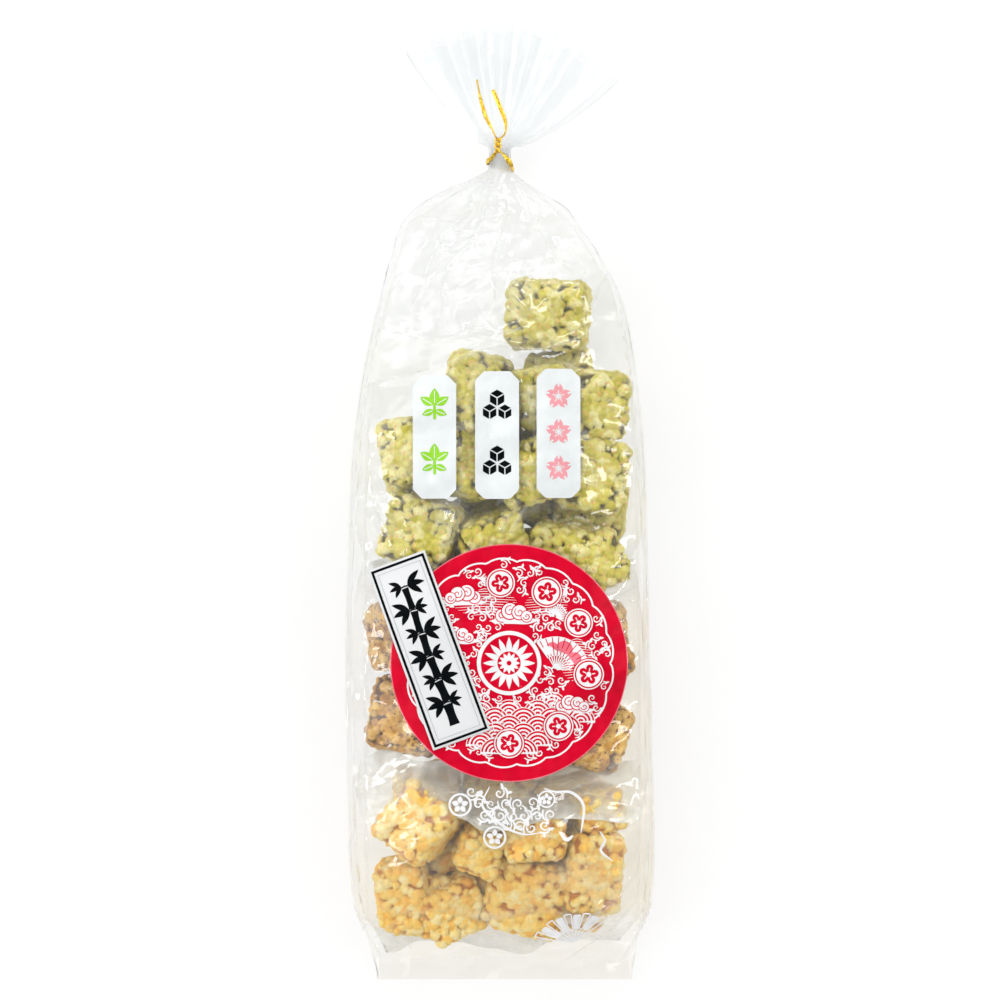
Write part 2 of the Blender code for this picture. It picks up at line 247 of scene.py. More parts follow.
@dataclass
class HeightMap:
    """Heights on a regular grid, rows along Y, read smoothly between its points.

    Formula of the reading: a biquadratic B-spline over the three nearest rows and columns.
    """

    x0: float
    y0: float
    step: float
    values: Array

    def at(self, x: Array, y: Array) -> Array:
        """Heights at points x, y in mm."""
        u, v = (x - self.x0) / self.step, (y - self.y0) / self.step
        rows, columns = self.values.shape
        iu = np.clip(np.rint(u).astype(int), 1, columns - 2)
        iv = np.clip(np.rint(v).astype(int), 1, rows - 2)
        tu, tv = np.clip(u - iu, -0.5, 0.5), np.clip(v - iv, -0.5, 0.5)
        wu = (0.5 * (0.5 - tu) ** 2, 0.75 - tu**2, 0.5 * (0.5 + tu) ** 2)
        wv = (0.5 * (0.5 - tv) ** 2, 0.75 - tv**2, 0.5 * (0.5 + tv) ** 2)
        total = np.zeros_like(u)
        for i in range(3):
            for j in range(3):
                total += wv[i] * wu[j] * self.values[iv + i - 1, iu + j - 1]
        return total


def make_mesh(points: Array, faces: Array, slots: Array | None = None) -> bpy.types.Mesh:
    """A smooth-shaded mesh of points in mm and of triangles (m, 3) or quads (m, 4) that face outwards."""
    mesh = bpy.data.meshes.new("surface")
    mesh.vertices.add(len(points))
    mesh.vertices.foreach_set("co", (points * MM).astype(np.float32).ravel())
    mesh.loops.add(faces.size)
    mesh.loops.foreach_set("vertex_index", faces.astype(np.int32).ravel())
    mesh.polygons.add(len(faces))
    starts = np.arange(0, faces.size, faces.shape[1], dtype=np.int32)
    mesh.polygons.foreach_set("loop_start", starts)
    if slots is not None:
        mesh.polygons.foreach_set("material_index", slots.astype(np.int32))
    mesh.update(calc_edges=True)
    mesh.shade_smooth()
    return mesh


def make_piece(
    name: str,
    surface: tuple[Array, Array],
    materials: Sequence[Material],
    slot: str | None = BAG_SLOT,
    node: str | None = None,
    slots: Array | None = None,
    values: dict[str, Array] | None = None,
) -> None:
    """Makes a mesh object at the origin that rides the bag's only body, or stands on the stage.

    Args:
        name: the piece's name.
        surface: its points in mm and its faces.
        materials: its materials, in the order of their slots.
        slot: kept nowhere; None makes a piece of the stage, any other value one that rides the bag's body.
        node: the node of the solids that it replaces, if it does.
        slots: each face's material slot, all 0 if left out.
        values: numbers per point that its materials read as attributes.
    """
    mesh = make_mesh(*surface, slots)
    mesh.name = name
    for material in materials:
        mesh.materials.append(material)
    for key, numbers in (values or {}).items():
        layer = mesh.attributes.new(key, "FLOAT", "POINT")
        layer.data.foreach_set("value", numbers.astype(np.float32))
    piece = bpy.data.objects.new(name, mesh)
    bpy.context.scene.collection.objects.link(piece)
    LOG.info("%s: %d points, %d faces", name, len(surface[0]), len(surface[1]))
    if slot is None:
        return
    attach(piece, BODY)
    if node is not None:
        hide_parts(node)


class Nodes:
    """A short way to write a material's node tree."""

    def __init__(self, name: str) -> None:
        """Starts an empty tree with its output."""
        self.material = bpy.data.materials.new(name)
        self.material.use_nodes = True
        self.tree = self.material.node_tree
        self.tree.nodes.clear()
        self.output = self.add("ShaderNodeOutputMaterial")

    def add(self, kind: str, inputs: dict | None = None, **settings: object) -> bpy.types.Node:
        """Adds a node.

        Args:
            kind: its type.
            inputs: socket name or number to a value or to another node's output.
            settings: its own properties.

        Returns:
            The node.
        """
        node = self.tree.nodes.new(kind)
        for key, value in settings.items():
            setattr(node, key, value)
        for key, value in (inputs or {}).items():
            if isinstance(value, bpy.types.NodeSocket):
                self.tree.links.new(value, node.inputs[key])
            else:
                node.inputs[key].default_value = value
        return node

    def out(self, kind: str, inputs: dict | None = None, output: int | str = 0, **own: object) -> object:
        """One output of a new node."""
        return self.add(kind, inputs, **own).outputs[output]

    def stored(self, name: str) -> object:
        """A number that the mesh holds for each of its points."""
        return self.out("ShaderNodeAttribute", output="Fac", attribute_name=name)

    def noise(self, size: float, detail: float, where: object = None, rough: float = 0.5) -> object:
        """Factor of a noise whose features are about size mm across."""
        where = where or self.out("ShaderNodeTexCoord", output="Object")
        inputs = {"Vector": where, "Scale": 1.0 / (size * MM), "Detail": detail, "Roughness": rough}
        return self.out("ShaderNodeTexNoise", inputs, "Fac")

    def ramp(self, factor: object, stops: Sequence[tuple[float, Triple]]) -> object:
        """Colour of a ramp, from its (place, colour) stops in rising order."""
        node = self.add("ShaderNodeValToRGB", {"Fac": factor})
        elements = node.color_ramp.elements
        while len(elements) < len(stops):
            elements.new(0.5)
        for element, (place, colour) in zip(elements, stops):
            element.position = place
            element.color = (*colour, 1.0)
        return node.outputs["Color"]

    def grey(self, factor: object, low: float, high: float, start: float = 0.0, end: float = 1.0) -> object:
        """Grey that runs from start to end while the factor runs from low to high."""
        return self.ramp(factor, ((low, (start,) * 3), (high, (end,) * 3)))

    def colours(self, share: object, first: object, second: Triple) -> object:
        """Colour with a share of a second, plain one laid into the first."""
        first = (*first, 1.0) if isinstance(first, tuple) else first
        return self.out("ShaderNodeMix", {0: share, 6: first, 7: (*second, 1.0)}, 2, data_type="RGBA")

    def math(self, operation: str, a: object, b: object) -> object:
        """Result of a Math node, clamped to 0..1."""
        return self.out("ShaderNodeMath", {0: a, 1: b}, operation=operation, use_clamp=True)

    def multiply_add(self, a: object, b: object, c: object) -> object:
        """a * b + c."""
        return self.out("ShaderNodeMath", {0: a, 1: b, 2: c}, operation="MULTIPLY_ADD")

    def bump(self, height: object, distance: float, strength: float, normal: object = None) -> object:
        """Normal of a Bump node whose full height is distance mm."""
        inputs = {"Height": height, "Distance": distance * MM, "Strength": strength}
        if normal is not None:
            inputs["Normal"] = normal
        return self.out("ShaderNodeBump", inputs, "Normal")

    def blend(self, share: object, first: object, second: object) -> object:
        """Shader with a share of the second in the first."""
        return self.out("ShaderNodeMixShader", {0: share, 1: first, 2: second})

    def done(self, shader: object) -> Material:
        """Joins the shader to the output and returns the material."""
        self.tree.links.new(shader, self.output.inputs["Surface"])
        return self.material

    def surface(self, inputs: dict) -> Material:
        """Finished material of one Principled shader."""
        return self.done(self.out("ShaderNodeBsdfPrincipled", inputs))


@dataclass(frozen=True)
class FilmFinish:
    """Clear thin film: mostly see-through, with a little white haze and a mirror that grows at the edges."""

    name: str
    tint: Triple
    warm_tint: Triple
    haze: float
    cloud: float
    mirror: float
    roughness: float
    facet_size: float
    facet_height: float
    streak_height: float = 0.0
    bunched_haze: float = 0.5
    milk: float = 0.69
    lit_through: float = 0.5
    cast_start: float = 25.0
    cast_end: float = 130.0

    def facets(self, nodes: Nodes, place: object) -> object:
        """Height from 0 to 1 of film that breaks into flat facets with straight creases.

        Formula: the mean of three triangle waves that run different ways, each bent a little.
        """
        total = 0.0
        for turn, length in ((0.35, 1.0), (1.45, 0.7), (2.45, 1.35)):
            spun = nodes.out("ShaderNodeMapping", {0: place, 2: (0.2, 0.3 * turn, turn)})
            scale = 0.05 * TAU / (self.facet_size * MM * length)
            inputs = {"Vector": spun, "Scale": scale, "Distortion": 6.0, "Detail": 0.0, "Detail Scale": 1.4}
            wave = nodes.out("ShaderNodeTexWave", inputs, "Fac", wave_profile="TRI")
            total = nodes.multiply_add(wave, 1.0 / 3.0, total)
        return total

    def milkiness(self, nodes: Nodes, place: object) -> object:
        """Share of white haze: a base, cloudy patches, and more of it where the film is bunched."""
        patches = nodes.grey(nodes.noise(26.0, 1.5, place), 0.50, 0.68)
        cloudy = nodes.multiply_add(patches, self.cloud, self.haze)
        return nodes.multiply_add(nodes.stored("bunch"), self.bunched_haze, cloudy)

    def cast(self, nodes: Nodes, place: object) -> object:
        """Colour of the film, which turns from tint to warm_tint towards the bag's lower right."""
        inputs = {0: place, 1: (1.3, -1.0, 0.0)}
        along = nodes.out("ShaderNodeVectorMath", inputs, "Value", operation="DOT_PRODUCT")
        share = nodes.out("ShaderNodeMapRange", {0: along, 1: self.cast_start * MM, 2: self.cast_end * MM})
        return nodes.colours(share, self.tint, self.warm_tint)

    def build(self) -> Material:
        """Film material.

        The mirror's share is mirror + (1 - mirror) * facing^4, which is about what the two faces of
        a thin film reflect, the same from both of its sides. Without a streak height there are none.
        """
        nodes = Nodes(self.name)
        place = nodes.out("ShaderNodeTexCoord", output="Object")
        normal = nodes.bump(self.facets(nodes, place), self.facet_height, 1.0)
        if self.streak_height > 0:
            stretched = nodes.out("ShaderNodeMapping", {0: place, 3: (1.0, 0.07, 1.0)})
            normal = nodes.bump(nodes.noise(1.3, 1.0, stretched, 0.6), self.streak_height, 1.0, normal)
        clear = nodes.out("ShaderNodeBsdfTransparent", {"Color": self.cast(nodes, place)})
        white = (self.milk * 0.98, self.milk, self.milk, 1.0)
        lit = nodes.out("ShaderNodeBsdfDiffuse", {"Color": white, "Normal": normal})
        glow = nodes.out("ShaderNodeBsdfTranslucent", {"Color": (0.95, 0.96, 0.96, 1.0)})
        milk = nodes.blend(self.lit_through, lit, glow)
        hazy = nodes.blend(self.milkiness(nodes, place), clear, milk)
        facing = nodes.out("ShaderNodeLayerWeight", {"Blend": 0.5, "Normal": normal}, "Facing")
        share = nodes.multiply_add(nodes.math("POWER", facing, 4.0), 1.0 - self.mirror, self.mirror)
        inputs = {"Color": (1.0, 1.0, 1.0, 1.0), "Roughness": self.roughness, "Normal": normal}
        return nodes.done(nodes.blend(share, hazy, nodes.out("ShaderNodeBsdfAnisotropic", inputs)))


@dataclass(frozen=True)
class CrackerFinish:
    """Puffed rice held by sugar: each grain has its own tone, and shade is painted into the gaps between
    grains as a darker colour.
    """

    name: str
    # colour of the shade painted into the gaps between grains
    gap: Triple
    deep: Triple
    body: Triple
    pale: Triple
    fleck: Triple
    fleck_share: float

    def build(self) -> Material:
        """Cracker material: colour from the grain's tone, shade painted into the gaps by their depth, fine
        pits and a thin sugar glaze.
        """
        nodes = Nodes(self.name)
        mottle = nodes.math("SUBTRACT", nodes.noise(3.0, 3.0, rough=0.65), 0.3)
        tone = nodes.math("ADD", nodes.math("MULTIPLY", nodes.stored("tone"), 0.55), mottle)
        skin = nodes.ramp(tone, ((0.15, self.deep), (0.45, self.body), (0.85, self.pale)))
        specks = nodes.grey(nodes.noise(1.6, 2.0), 0.62 - self.fleck_share, 0.70 - self.fleck_share)
        # painted shade: the deeper a point lies in a gap, the more of the gap colour it gets
        painted_gap_shade = nodes.grey(nodes.stored("depth"), 0.42, 0.90)
        cells = nodes.out("ShaderNodeTexVoronoi", {"Scale": 1.0 / (1.9 * MM)}, "Distance")
        pitted = nodes.bump(nodes.noise(1.1, 2.5, rough=0.7), 0.35, 0.8)
        inputs = {
            "Base Color": nodes.colours(painted_gap_shade, nodes.colours(specks, skin, self.fleck), self.gap),
            "Roughness": nodes.grey(nodes.noise(2.6, 1.0), 0.35, 0.65, 0.62, 0.28),
            "Normal": nodes.bump(cells, -0.22, 0.6, pitted),
            "Specular IOR Level": 0.45,
        }
        return nodes.surface(inputs)


@dataclass(frozen=True)
class InkFinish:
    """Ink printed on film or paper: a slightly uneven colour under a gloss."""

    name: str
    colour: Triple
    uneven: float = 0.06
    roughness: float = 0.3
    coat: float = 0.3
    gloss: float = 0.4

    def build(self) -> Material:
        """Ink material."""
        nodes = Nodes(self.name)
        light = tuple(min(1.0, c * (1 + self.uneven) + self.uneven * 0.02) for c in self.colour)
        dark = tuple(c * (1 - self.uneven) for c in self.colour)
        inputs = {
            "Base Color": nodes.ramp(nodes.noise(5.0, 3.0), ((0.35, dark), (0.65, light))),
            "Roughness": self.roughness,
            "Specular IOR Level": self.gloss,
            "Normal": nodes.bump(nodes.noise(2.2, 2.0), 0.03, 0.6),
            "Coat Weight": self.coat,
            "Coat Roughness": 0.08,
        }
        return nodes.surface(inputs)


@dataclass(frozen=True)
class PaperFinish:
    """Coated white paper with faint fibres."""

    name: str
    colour: Triple

    def build(self) -> Material:
        """Paper material."""
        nodes = Nodes(self.name)
        fibres = nodes.noise(0.7, 5.0, rough=0.7)
        warm = tuple(c * 0.965 for c in self.colour)
        colour = nodes.ramp(fibres, ((0.3, warm), (0.7, self.colour)))
        normal = nodes.bump(fibres, 0.03, 0.5)
        return nodes.surface({"Base Color": colour, "Roughness": 0.42, "Normal": normal})


@dataclass(frozen=True)
class FoilFinish:
    """Gold foil strip, wrinkled by twisting."""

    name: str
    gold: Triple
    # colour of the shade painted into the folds
    dark: Triple

    def build(self) -> Material:
        """Foil material: metal whose fine wrinkles run at random, with shade painted into their folds: the
        colour turns dark where the bump sinks.
        """
        nodes = Nodes(self.name)
        wrinkles_and_fold_shade = nodes.noise(1.1, 4.0, rough=0.6)
        inputs = {
            # painted shade: the colour turns dark where the wrinkles sink
            "Base Color": nodes.ramp(wrinkles_and_fold_shade, ((0.36, self.dark), (0.52, self.gold))),
            "Metallic": 1.0,
            "Roughness": nodes.grey(nodes.noise(0.6, 2.0), 0.3, 0.7, 0.18, 0.4),
            "Normal": nodes.bump(wrinkles_and_fold_shade, 0.25, 0.8),
        }
        return nodes.surface(inputs)


@dataclass(frozen=True)
class BagForm:
    """Outer form of the bag, as the solid has it, without the crackers' bulges.

    A section across the bag is a superellipse |side|^n + |height|^n = 1 between its left and right
    edge and between its back and front height. n falls from a boxy to a round section at the neck.
    Past the neck each section bends into an arc, so that the flared top opens like a hand fan.
    """

    outline: tuple[Triple, ...] = (
        (-184.8, -47.4, 51.2),
        (-171, -50.7, 53),
        (-152, -56.4, 58.2),
        (-134, -57.8, 59),
        (-60, -59, 57.4),
        (11.5, -57, 55.6),
        (42, -53.6, 53),
        (72.6, -47.6, 48.2),
        (95.5, -41.4, 37.4),
        (106, -38.2, 30),
        (112, -33, 26),
        (119, -22, 15),
        (124, -10.5, 7.6),
        (127.8, -4.4, 4.4),
        (134, -4.3, 4.3),
    )
    front: tuple[Pair, ...] = (
        (-184.8, 3.9),
        (-177, 4.4),
        (-171, 9.5),
        (-163, 26),
        (-153, 37.5),
        (-125, 45),
        (-104, 41.5),
        (-92, 41.5),
        (-60, 46),
        (-27, 41),
        (-16, 41.5),
        (20, 46),
        (58, 40.5),
        (80, 34.5),
        (98, 26.5),
        (112, 19.5),
        (121.5, 15.8),
        (127.8, 14.3),
        (134, 14.3),
    )
    back: tuple[Pair, ...] = (
        (-184.8, 3.5),
        (-177, 3),
        (-170, 0.8),
        (-164, 0.3),
        (98, 0.3),
        (112, 2),
        (121.5, 4.2),
        (127.8, 5.7),
        (134, 5.7),
    )
    neck_y: float = 134.0
    neck_half: float = 4.3
    neck_z: float = 10.0
    widest_share: float = 0.45
    body_squareness: float = 3.1
    neck_squareness: float = 2.0
    fan_length: float = 50.7
    fan_turn: float = math.radians(8.0)
    fan_half_angle: float = math.radians(50.0)
    fan_neck_half_angle: float = math.radians(62.0)
    fan_corner_drop: float = 3.6
    fan_half_thickness: float = 0.8
    fan_corner_stretch: float = 0.05
    shoulder_y: float = 114.0
    shoulder_fold: float = 1.7

    def edges(self, y: Array) -> tuple[Array, Array]:
        """Left and right edge at y."""
        return through(self.outline, 1, y), through(self.outline, 2, y)

    def squareness(self, y: Array) -> Array:
        """Exponent of the section at y."""
        fall = self.neck_squareness - self.body_squareness
        return self.body_squareness + fall * ease((y - 88.0) / 38.0)

    def fan_share(self, y: Array) -> Array:
        """0 at the neck, 1 at the rim of the flared top."""
        return np.clip((y - self.neck_y) / self.fan_length, 0.0, 1.0)

    def half_angle(self, y: Array) -> Array:
        """Half of the angle that a section fans out over."""
        spread = self.fan_neck_half_angle
        spread = spread + (self.fan_half_angle - self.fan_neck_half_angle) * self.fan_share(y)
        return spread * ease((y - 131.0) / 11.0)

    def half_length(self, y: Array) -> Array:
        """Half of a section's length, along its arc where it is bent."""
        left, right = self.edges(y)
        reach = self.half_angle(y) * np.maximum(y - self.neck_y + 1.2, 0.0)
        return np.where(y > self.neck_y, np.hypot(self.neck_half, reach), (right - left) / 2)

    def side_and_lift(self, x: Array, y: Array) -> tuple[Array, Array]:
        """How far across the bag a point is, from -1 to 1, and its share of the front's height there."""
        left, right = self.edges(y)
        side = np.clip((x - (left + right) / 2) / ((right - left) / 2), -1.0, 1.0)
        power = self.squareness(y)
        return side, (1.0 - np.abs(side) ** power) ** (1.0 / power)

    def shoulder_pleats(self, side: Array, y: Array) -> Array:
        """Folds that run from the neck down over the shoulder: a wave across the bag that fades along it."""
        reach = np.where(y > self.shoulder_y, 9.0, 17.0)
        fade = np.exp(-(((y - self.shoulder_y) / reach) ** 2))
        wave = np.sin(7.5 * side + 1.9 * np.sin(2.1 * side) + 0.7)
        return self.shoulder_fold * fade * wave * (1.0 - side**4)

    def levels(self, y: Array) -> tuple[Array, Array, Array]:
        """Heights of the back, of the widest place and of the front at y."""
        top, bottom = through(self.front, 1, y), through(self.back, 1, y)
        return bottom, bottom + self.widest_share * (top - bottom), top

    def front_height(self, x: Array, y: Array) -> Array:
        """Height of the front at points of the body."""
        side, lift = self.side_and_lift(x, y)
        _, middle, top = self.levels(y)
        return middle + (top - middle) * lift + self.shoulder_pleats(side, y) * lift**2

    def back_height(self, x: Array, y: Array) -> Array:
        """Height of the back at points of the body."""
        _, lift = self.side_and_lift(x, y)
        bottom, middle, _ = self.levels(y)
        return middle - (middle - bottom) * lift

    def bunching(self, y: Array) -> Array:
        """How tightly the film is bunched at y: 1 in the tied neck, falling to 0 on both sides of it."""
        return np.exp(-(((y - 129.0) / 8.0) ** 2))

    def sides(self, y: Array, columns: int) -> tuple[Array, Array]:
        """Side and lift of points at even distances over one half of each section.

        Args:
            y: the sections, (rows,).
            columns: number of cells from the right edge to the left one.

        Returns:
            side from 1 to -1 and lift from 0 to 1 and back, both (rows, columns + 1).
        """
        turn = np.linspace(0.0, math.pi, 361)
        power = (2.0 / self.squareness(y))[:, None]
        cos, sin = np.cos(turn)[None], np.sin(turn).clip(0.0)[None]
        side = np.sign(cos) * np.abs(cos) ** power
        lift = sin**power
        depth = np.maximum(through(self.front, 1, y) - through(self.back, 1, y), 1.0) / 2
        across = np.diff(side, axis=1) * self.half_length(y)[:, None]
        step = np.hypot(across, np.diff(lift, axis=1) * depth[:, None])
        run = np.concatenate((np.zeros((len(y), 1)), np.cumsum(step, axis=1)), axis=1)
        at = np.linspace(0.0, 1.0, columns + 1)[None] * run[:, -1:]
        even = [np.stack([np.interp(*row) for row in zip(at, run, values)]) for values in (side, lift)]
        return even[0], even[1]

    def place(self, side: Array, y: Array) -> tuple[Array, Array]:
        """Across and along of points at side of the sections y, bent into arcs in the flared top."""
        y = y[:, None]
        angle = np.maximum(self.half_angle(y), 1e-6)
        left, right = self.edges(y)
        length = self.half_length(y)
        share = self.fan_share(y)
        stretch = 1.0 + self.fan_corner_stretch * side**2 * share
        across = length * np.sin(angle * side) / angle * stretch
        base = np.minimum(y, self.neck_y)
        out = (y - base) - length * (1.0 - np.cos(angle * side) * stretch) / angle
        turn = self.fan_turn * ease((y - self.neck_y) / 14.0)
        x = (left + right) / 2 + across * np.cos(turn) + out * np.sin(turn)
        return x, base + out * np.cos(turn) - across * np.sin(turn)


class Flavour(Enum):
    """The three flavours, from the tied end down."""

    GREEN_TEA = "green_tea"
    BROWN_SUGAR = "brown_sugar"
    WHITE_SUGAR = "white_sugar"


@dataclass(frozen=True)
class Cracker:
    """One cracker: its middle, its half sizes, and how it is turned in plan, tipped and rolled, in degrees.

    A sunk cracker lies that many mm deeper under the film than its neighbours.
    """

    x: float
    y: float
    turn: float = 0.0
    tip: float = 0.0
    roll: float = 0.0
    half: Triple = (14.0, 13.5, 10.5)
    sunk: float = 0.0

    def rotation(self) -> Array:
        """Rotation matrix: roll about Y, then tip about X, then turn about Z."""
        a, b, c = (math.radians(v) for v in (self.turn, self.tip, self.roll))
        about_z = np.array(((math.cos(a), -math.sin(a), 0), (math.sin(a), math.cos(a), 0), (0, 0, 1)))
        about_x = np.array(((1, 0, 0), (0, math.cos(b), -math.sin(b)), (0, math.sin(b), math.cos(b))))
        about_y = np.array(((math.cos(c), 0, math.sin(c)), (0, 1, 0), (-math.sin(c), 0, math.cos(c))))
        return about_z @ about_x @ about_y


UPPER_CRACKERS: dict[Flavour, tuple[Cracker, ...]] = {
    Flavour.GREEN_TEA: (
        Cracker(18.2, 71.6, -3, 8, -9, (15, 12.6, 11)),
        Cracker(3, 34, 40, -6, 5, (12, 12, 10)),
        Cracker(23, 34, 8, 4, 8, (10, 11, 9.5), 2),
        Cracker(40.5, 32.5, -6, 5, 12, (10.5, 12.5, 10)),
        Cracker(-27, 14, 8, 4, -10, (10, 12, 9.5)),
        Cracker(-7, 12.5, -14, -7, 6, (10.5, 12, 10.5)),
        Cracker(14, 12, 20, 6, -6, (11, 11.5, 10.5)),
        Cracker(36.5, 6.5, -10, -5, 12, (11.5, 13.5, 10.5)),
        Cracker(-29, -6.5, -16, 8, -9, (13.5, 13, 10.5)),
        Cracker(-3.5, -9, 18, 10, 4, (12.5, 11.5, 10.5)),
        Cracker(19.5, -10.5, -8, 12, -7, (12, 11.5, 10.5)),
        Cracker(38.5, -14, 24, 9, 10, (9.5, 10.5, 9.5)),
    ),
    Flavour.BROWN_SUGAR: (
        Cracker(-39.5, -53, 6, 5, -14, (12, 12.5, 10)),
        Cracker(-39, -80.5, -10, -6, -12, (12.5, 13.5, 10.5)),
        Cracker(-13, -51, 12, 5, 4, (13, 12.5, 10.5)),
        Cracker(14, -49, -9, 4, -5, (13, 12.5, 10.5)),
        Cracker(38, -57, 15, -4, 12, (11.5, 12.5, 10)),
        Cracker(-12, -78.5, -6, -8, 6, (13.5, 12.5, 10.5)),
        Cracker(15, -77, 10, -6, -6, (13, 13, 10.5)),
        Cracker(39.5, -84.5, -18, -8, 12, (11.5, 13, 10.5)),
    ),
    Flavour.WHITE_SUGAR: (
        Cracker(-29.5, -127, -38, 10, -14, (12, 13.5, 11)),
        Cracker(-38, -149.5, 6, 14, -10, (9.5, 13, 9.5), 4),
        Cracker(-15.5, -160, 25, 20, 6, (12, 10.5, 9)),
        Cracker(12, -152, -14, 17, -4, (15.5, 14.5, 11)),
        Cracker(12.5, -129, 4, -8, 5, (11.5, 7.5, 8.5), 3),
        Cracker(36, -143, -6, 8, 10, (10, 15, 10), 1.5),
        Cracker(38, -122, 10, 8, 12, (8.5, 8, 9), 4),
        Cracker(-9, -132, -20, 6, 10, (8, 8.5, 8), 6),
    ),
}

SIDE_ROOM: dict[Flavour, Pair] = {
    Flavour.GREEN_TEA: (-46, 49),
    Flavour.BROWN_SUGAR: (-50.5, 50),
    Flavour.WHITE_SUGAR: (-47.5, 47),
}

LOWER_CRACKERS: dict[Flavour, tuple[Cracker, ...]] = {
    Flavour.GREEN_TEA: (
        Cracker(17.5, 70, 20, 0, 0, (9, 8.5, 8)),
        Cracker(-8, 38, -12, 3, 0, (12, 12, 8.5)),
        Cracker(-12, -1, 25, 0, 0, (9, 9, 8.5)),
        Cracker(15, 1, -20, 0, 0, (9, 9, 8.5)),
        Cracker(26, 38, 10, 0, -4, (12.5, 12, 9)),
        Cracker(-30, 12, 10, 0, 4, (12.5, 12.5, 9)),
        Cracker(-3, 11, -8, 0, 0, (12.5, 12.5, 9)),
        Cracker(24, 14, 4, 0, -4, (13, 12, 9)),
        Cracker(-24, -11, -12, 0, 0, (12.5, 10.5, 9)),
        Cracker(6, -12, 8, 0, 0, (14, 11.5, 9)),
        Cracker(33, -9, -6, 0, -3, (13.5, 11.5, 9)),
    ),
    Flavour.BROWN_SUGAR: (
        Cracker(-26, -50, 10, 0, 0, (13, 12.5, 9)),
        Cracker(3, -48, -8, 0, 0, (13, 12.5, 9)),
        Cracker(31, -51, 6, 0, 0, (12.5, 12.5, 9)),
        Cracker(-27, -79, -10, 0, 0, (13, 12.5, 9)),
        Cracker(2, -77, 12, 0, 0, (13, 12.5, 9)),
        Cracker(30, -79, -14, 0, 0, (12.5, 12.5, 9)),
    ),
    Flavour.WHITE_SUGAR: (
        Cracker(-30, -128, 8, 0, 0, (12.5, 12, 9)),
        Cracker(-3, -129, -6, 0, 0, (13.5, 12, 10)),
        Cracker(27, -129, 10, 0, 0, (13, 12, 9)),
        Cracker(-28, -153, -8, 0, 0, (13.5, 12, 9)),
        Cracker(-15, -140, 15, 0, 0, (9, 9, 8.5)),
        Cracker(0, -149, 6, 0, 0, (13.5, 12.5, 9)),
        Cracker(28, -151, -6, 0, 0, (13, 12, 9)),
    ),
}


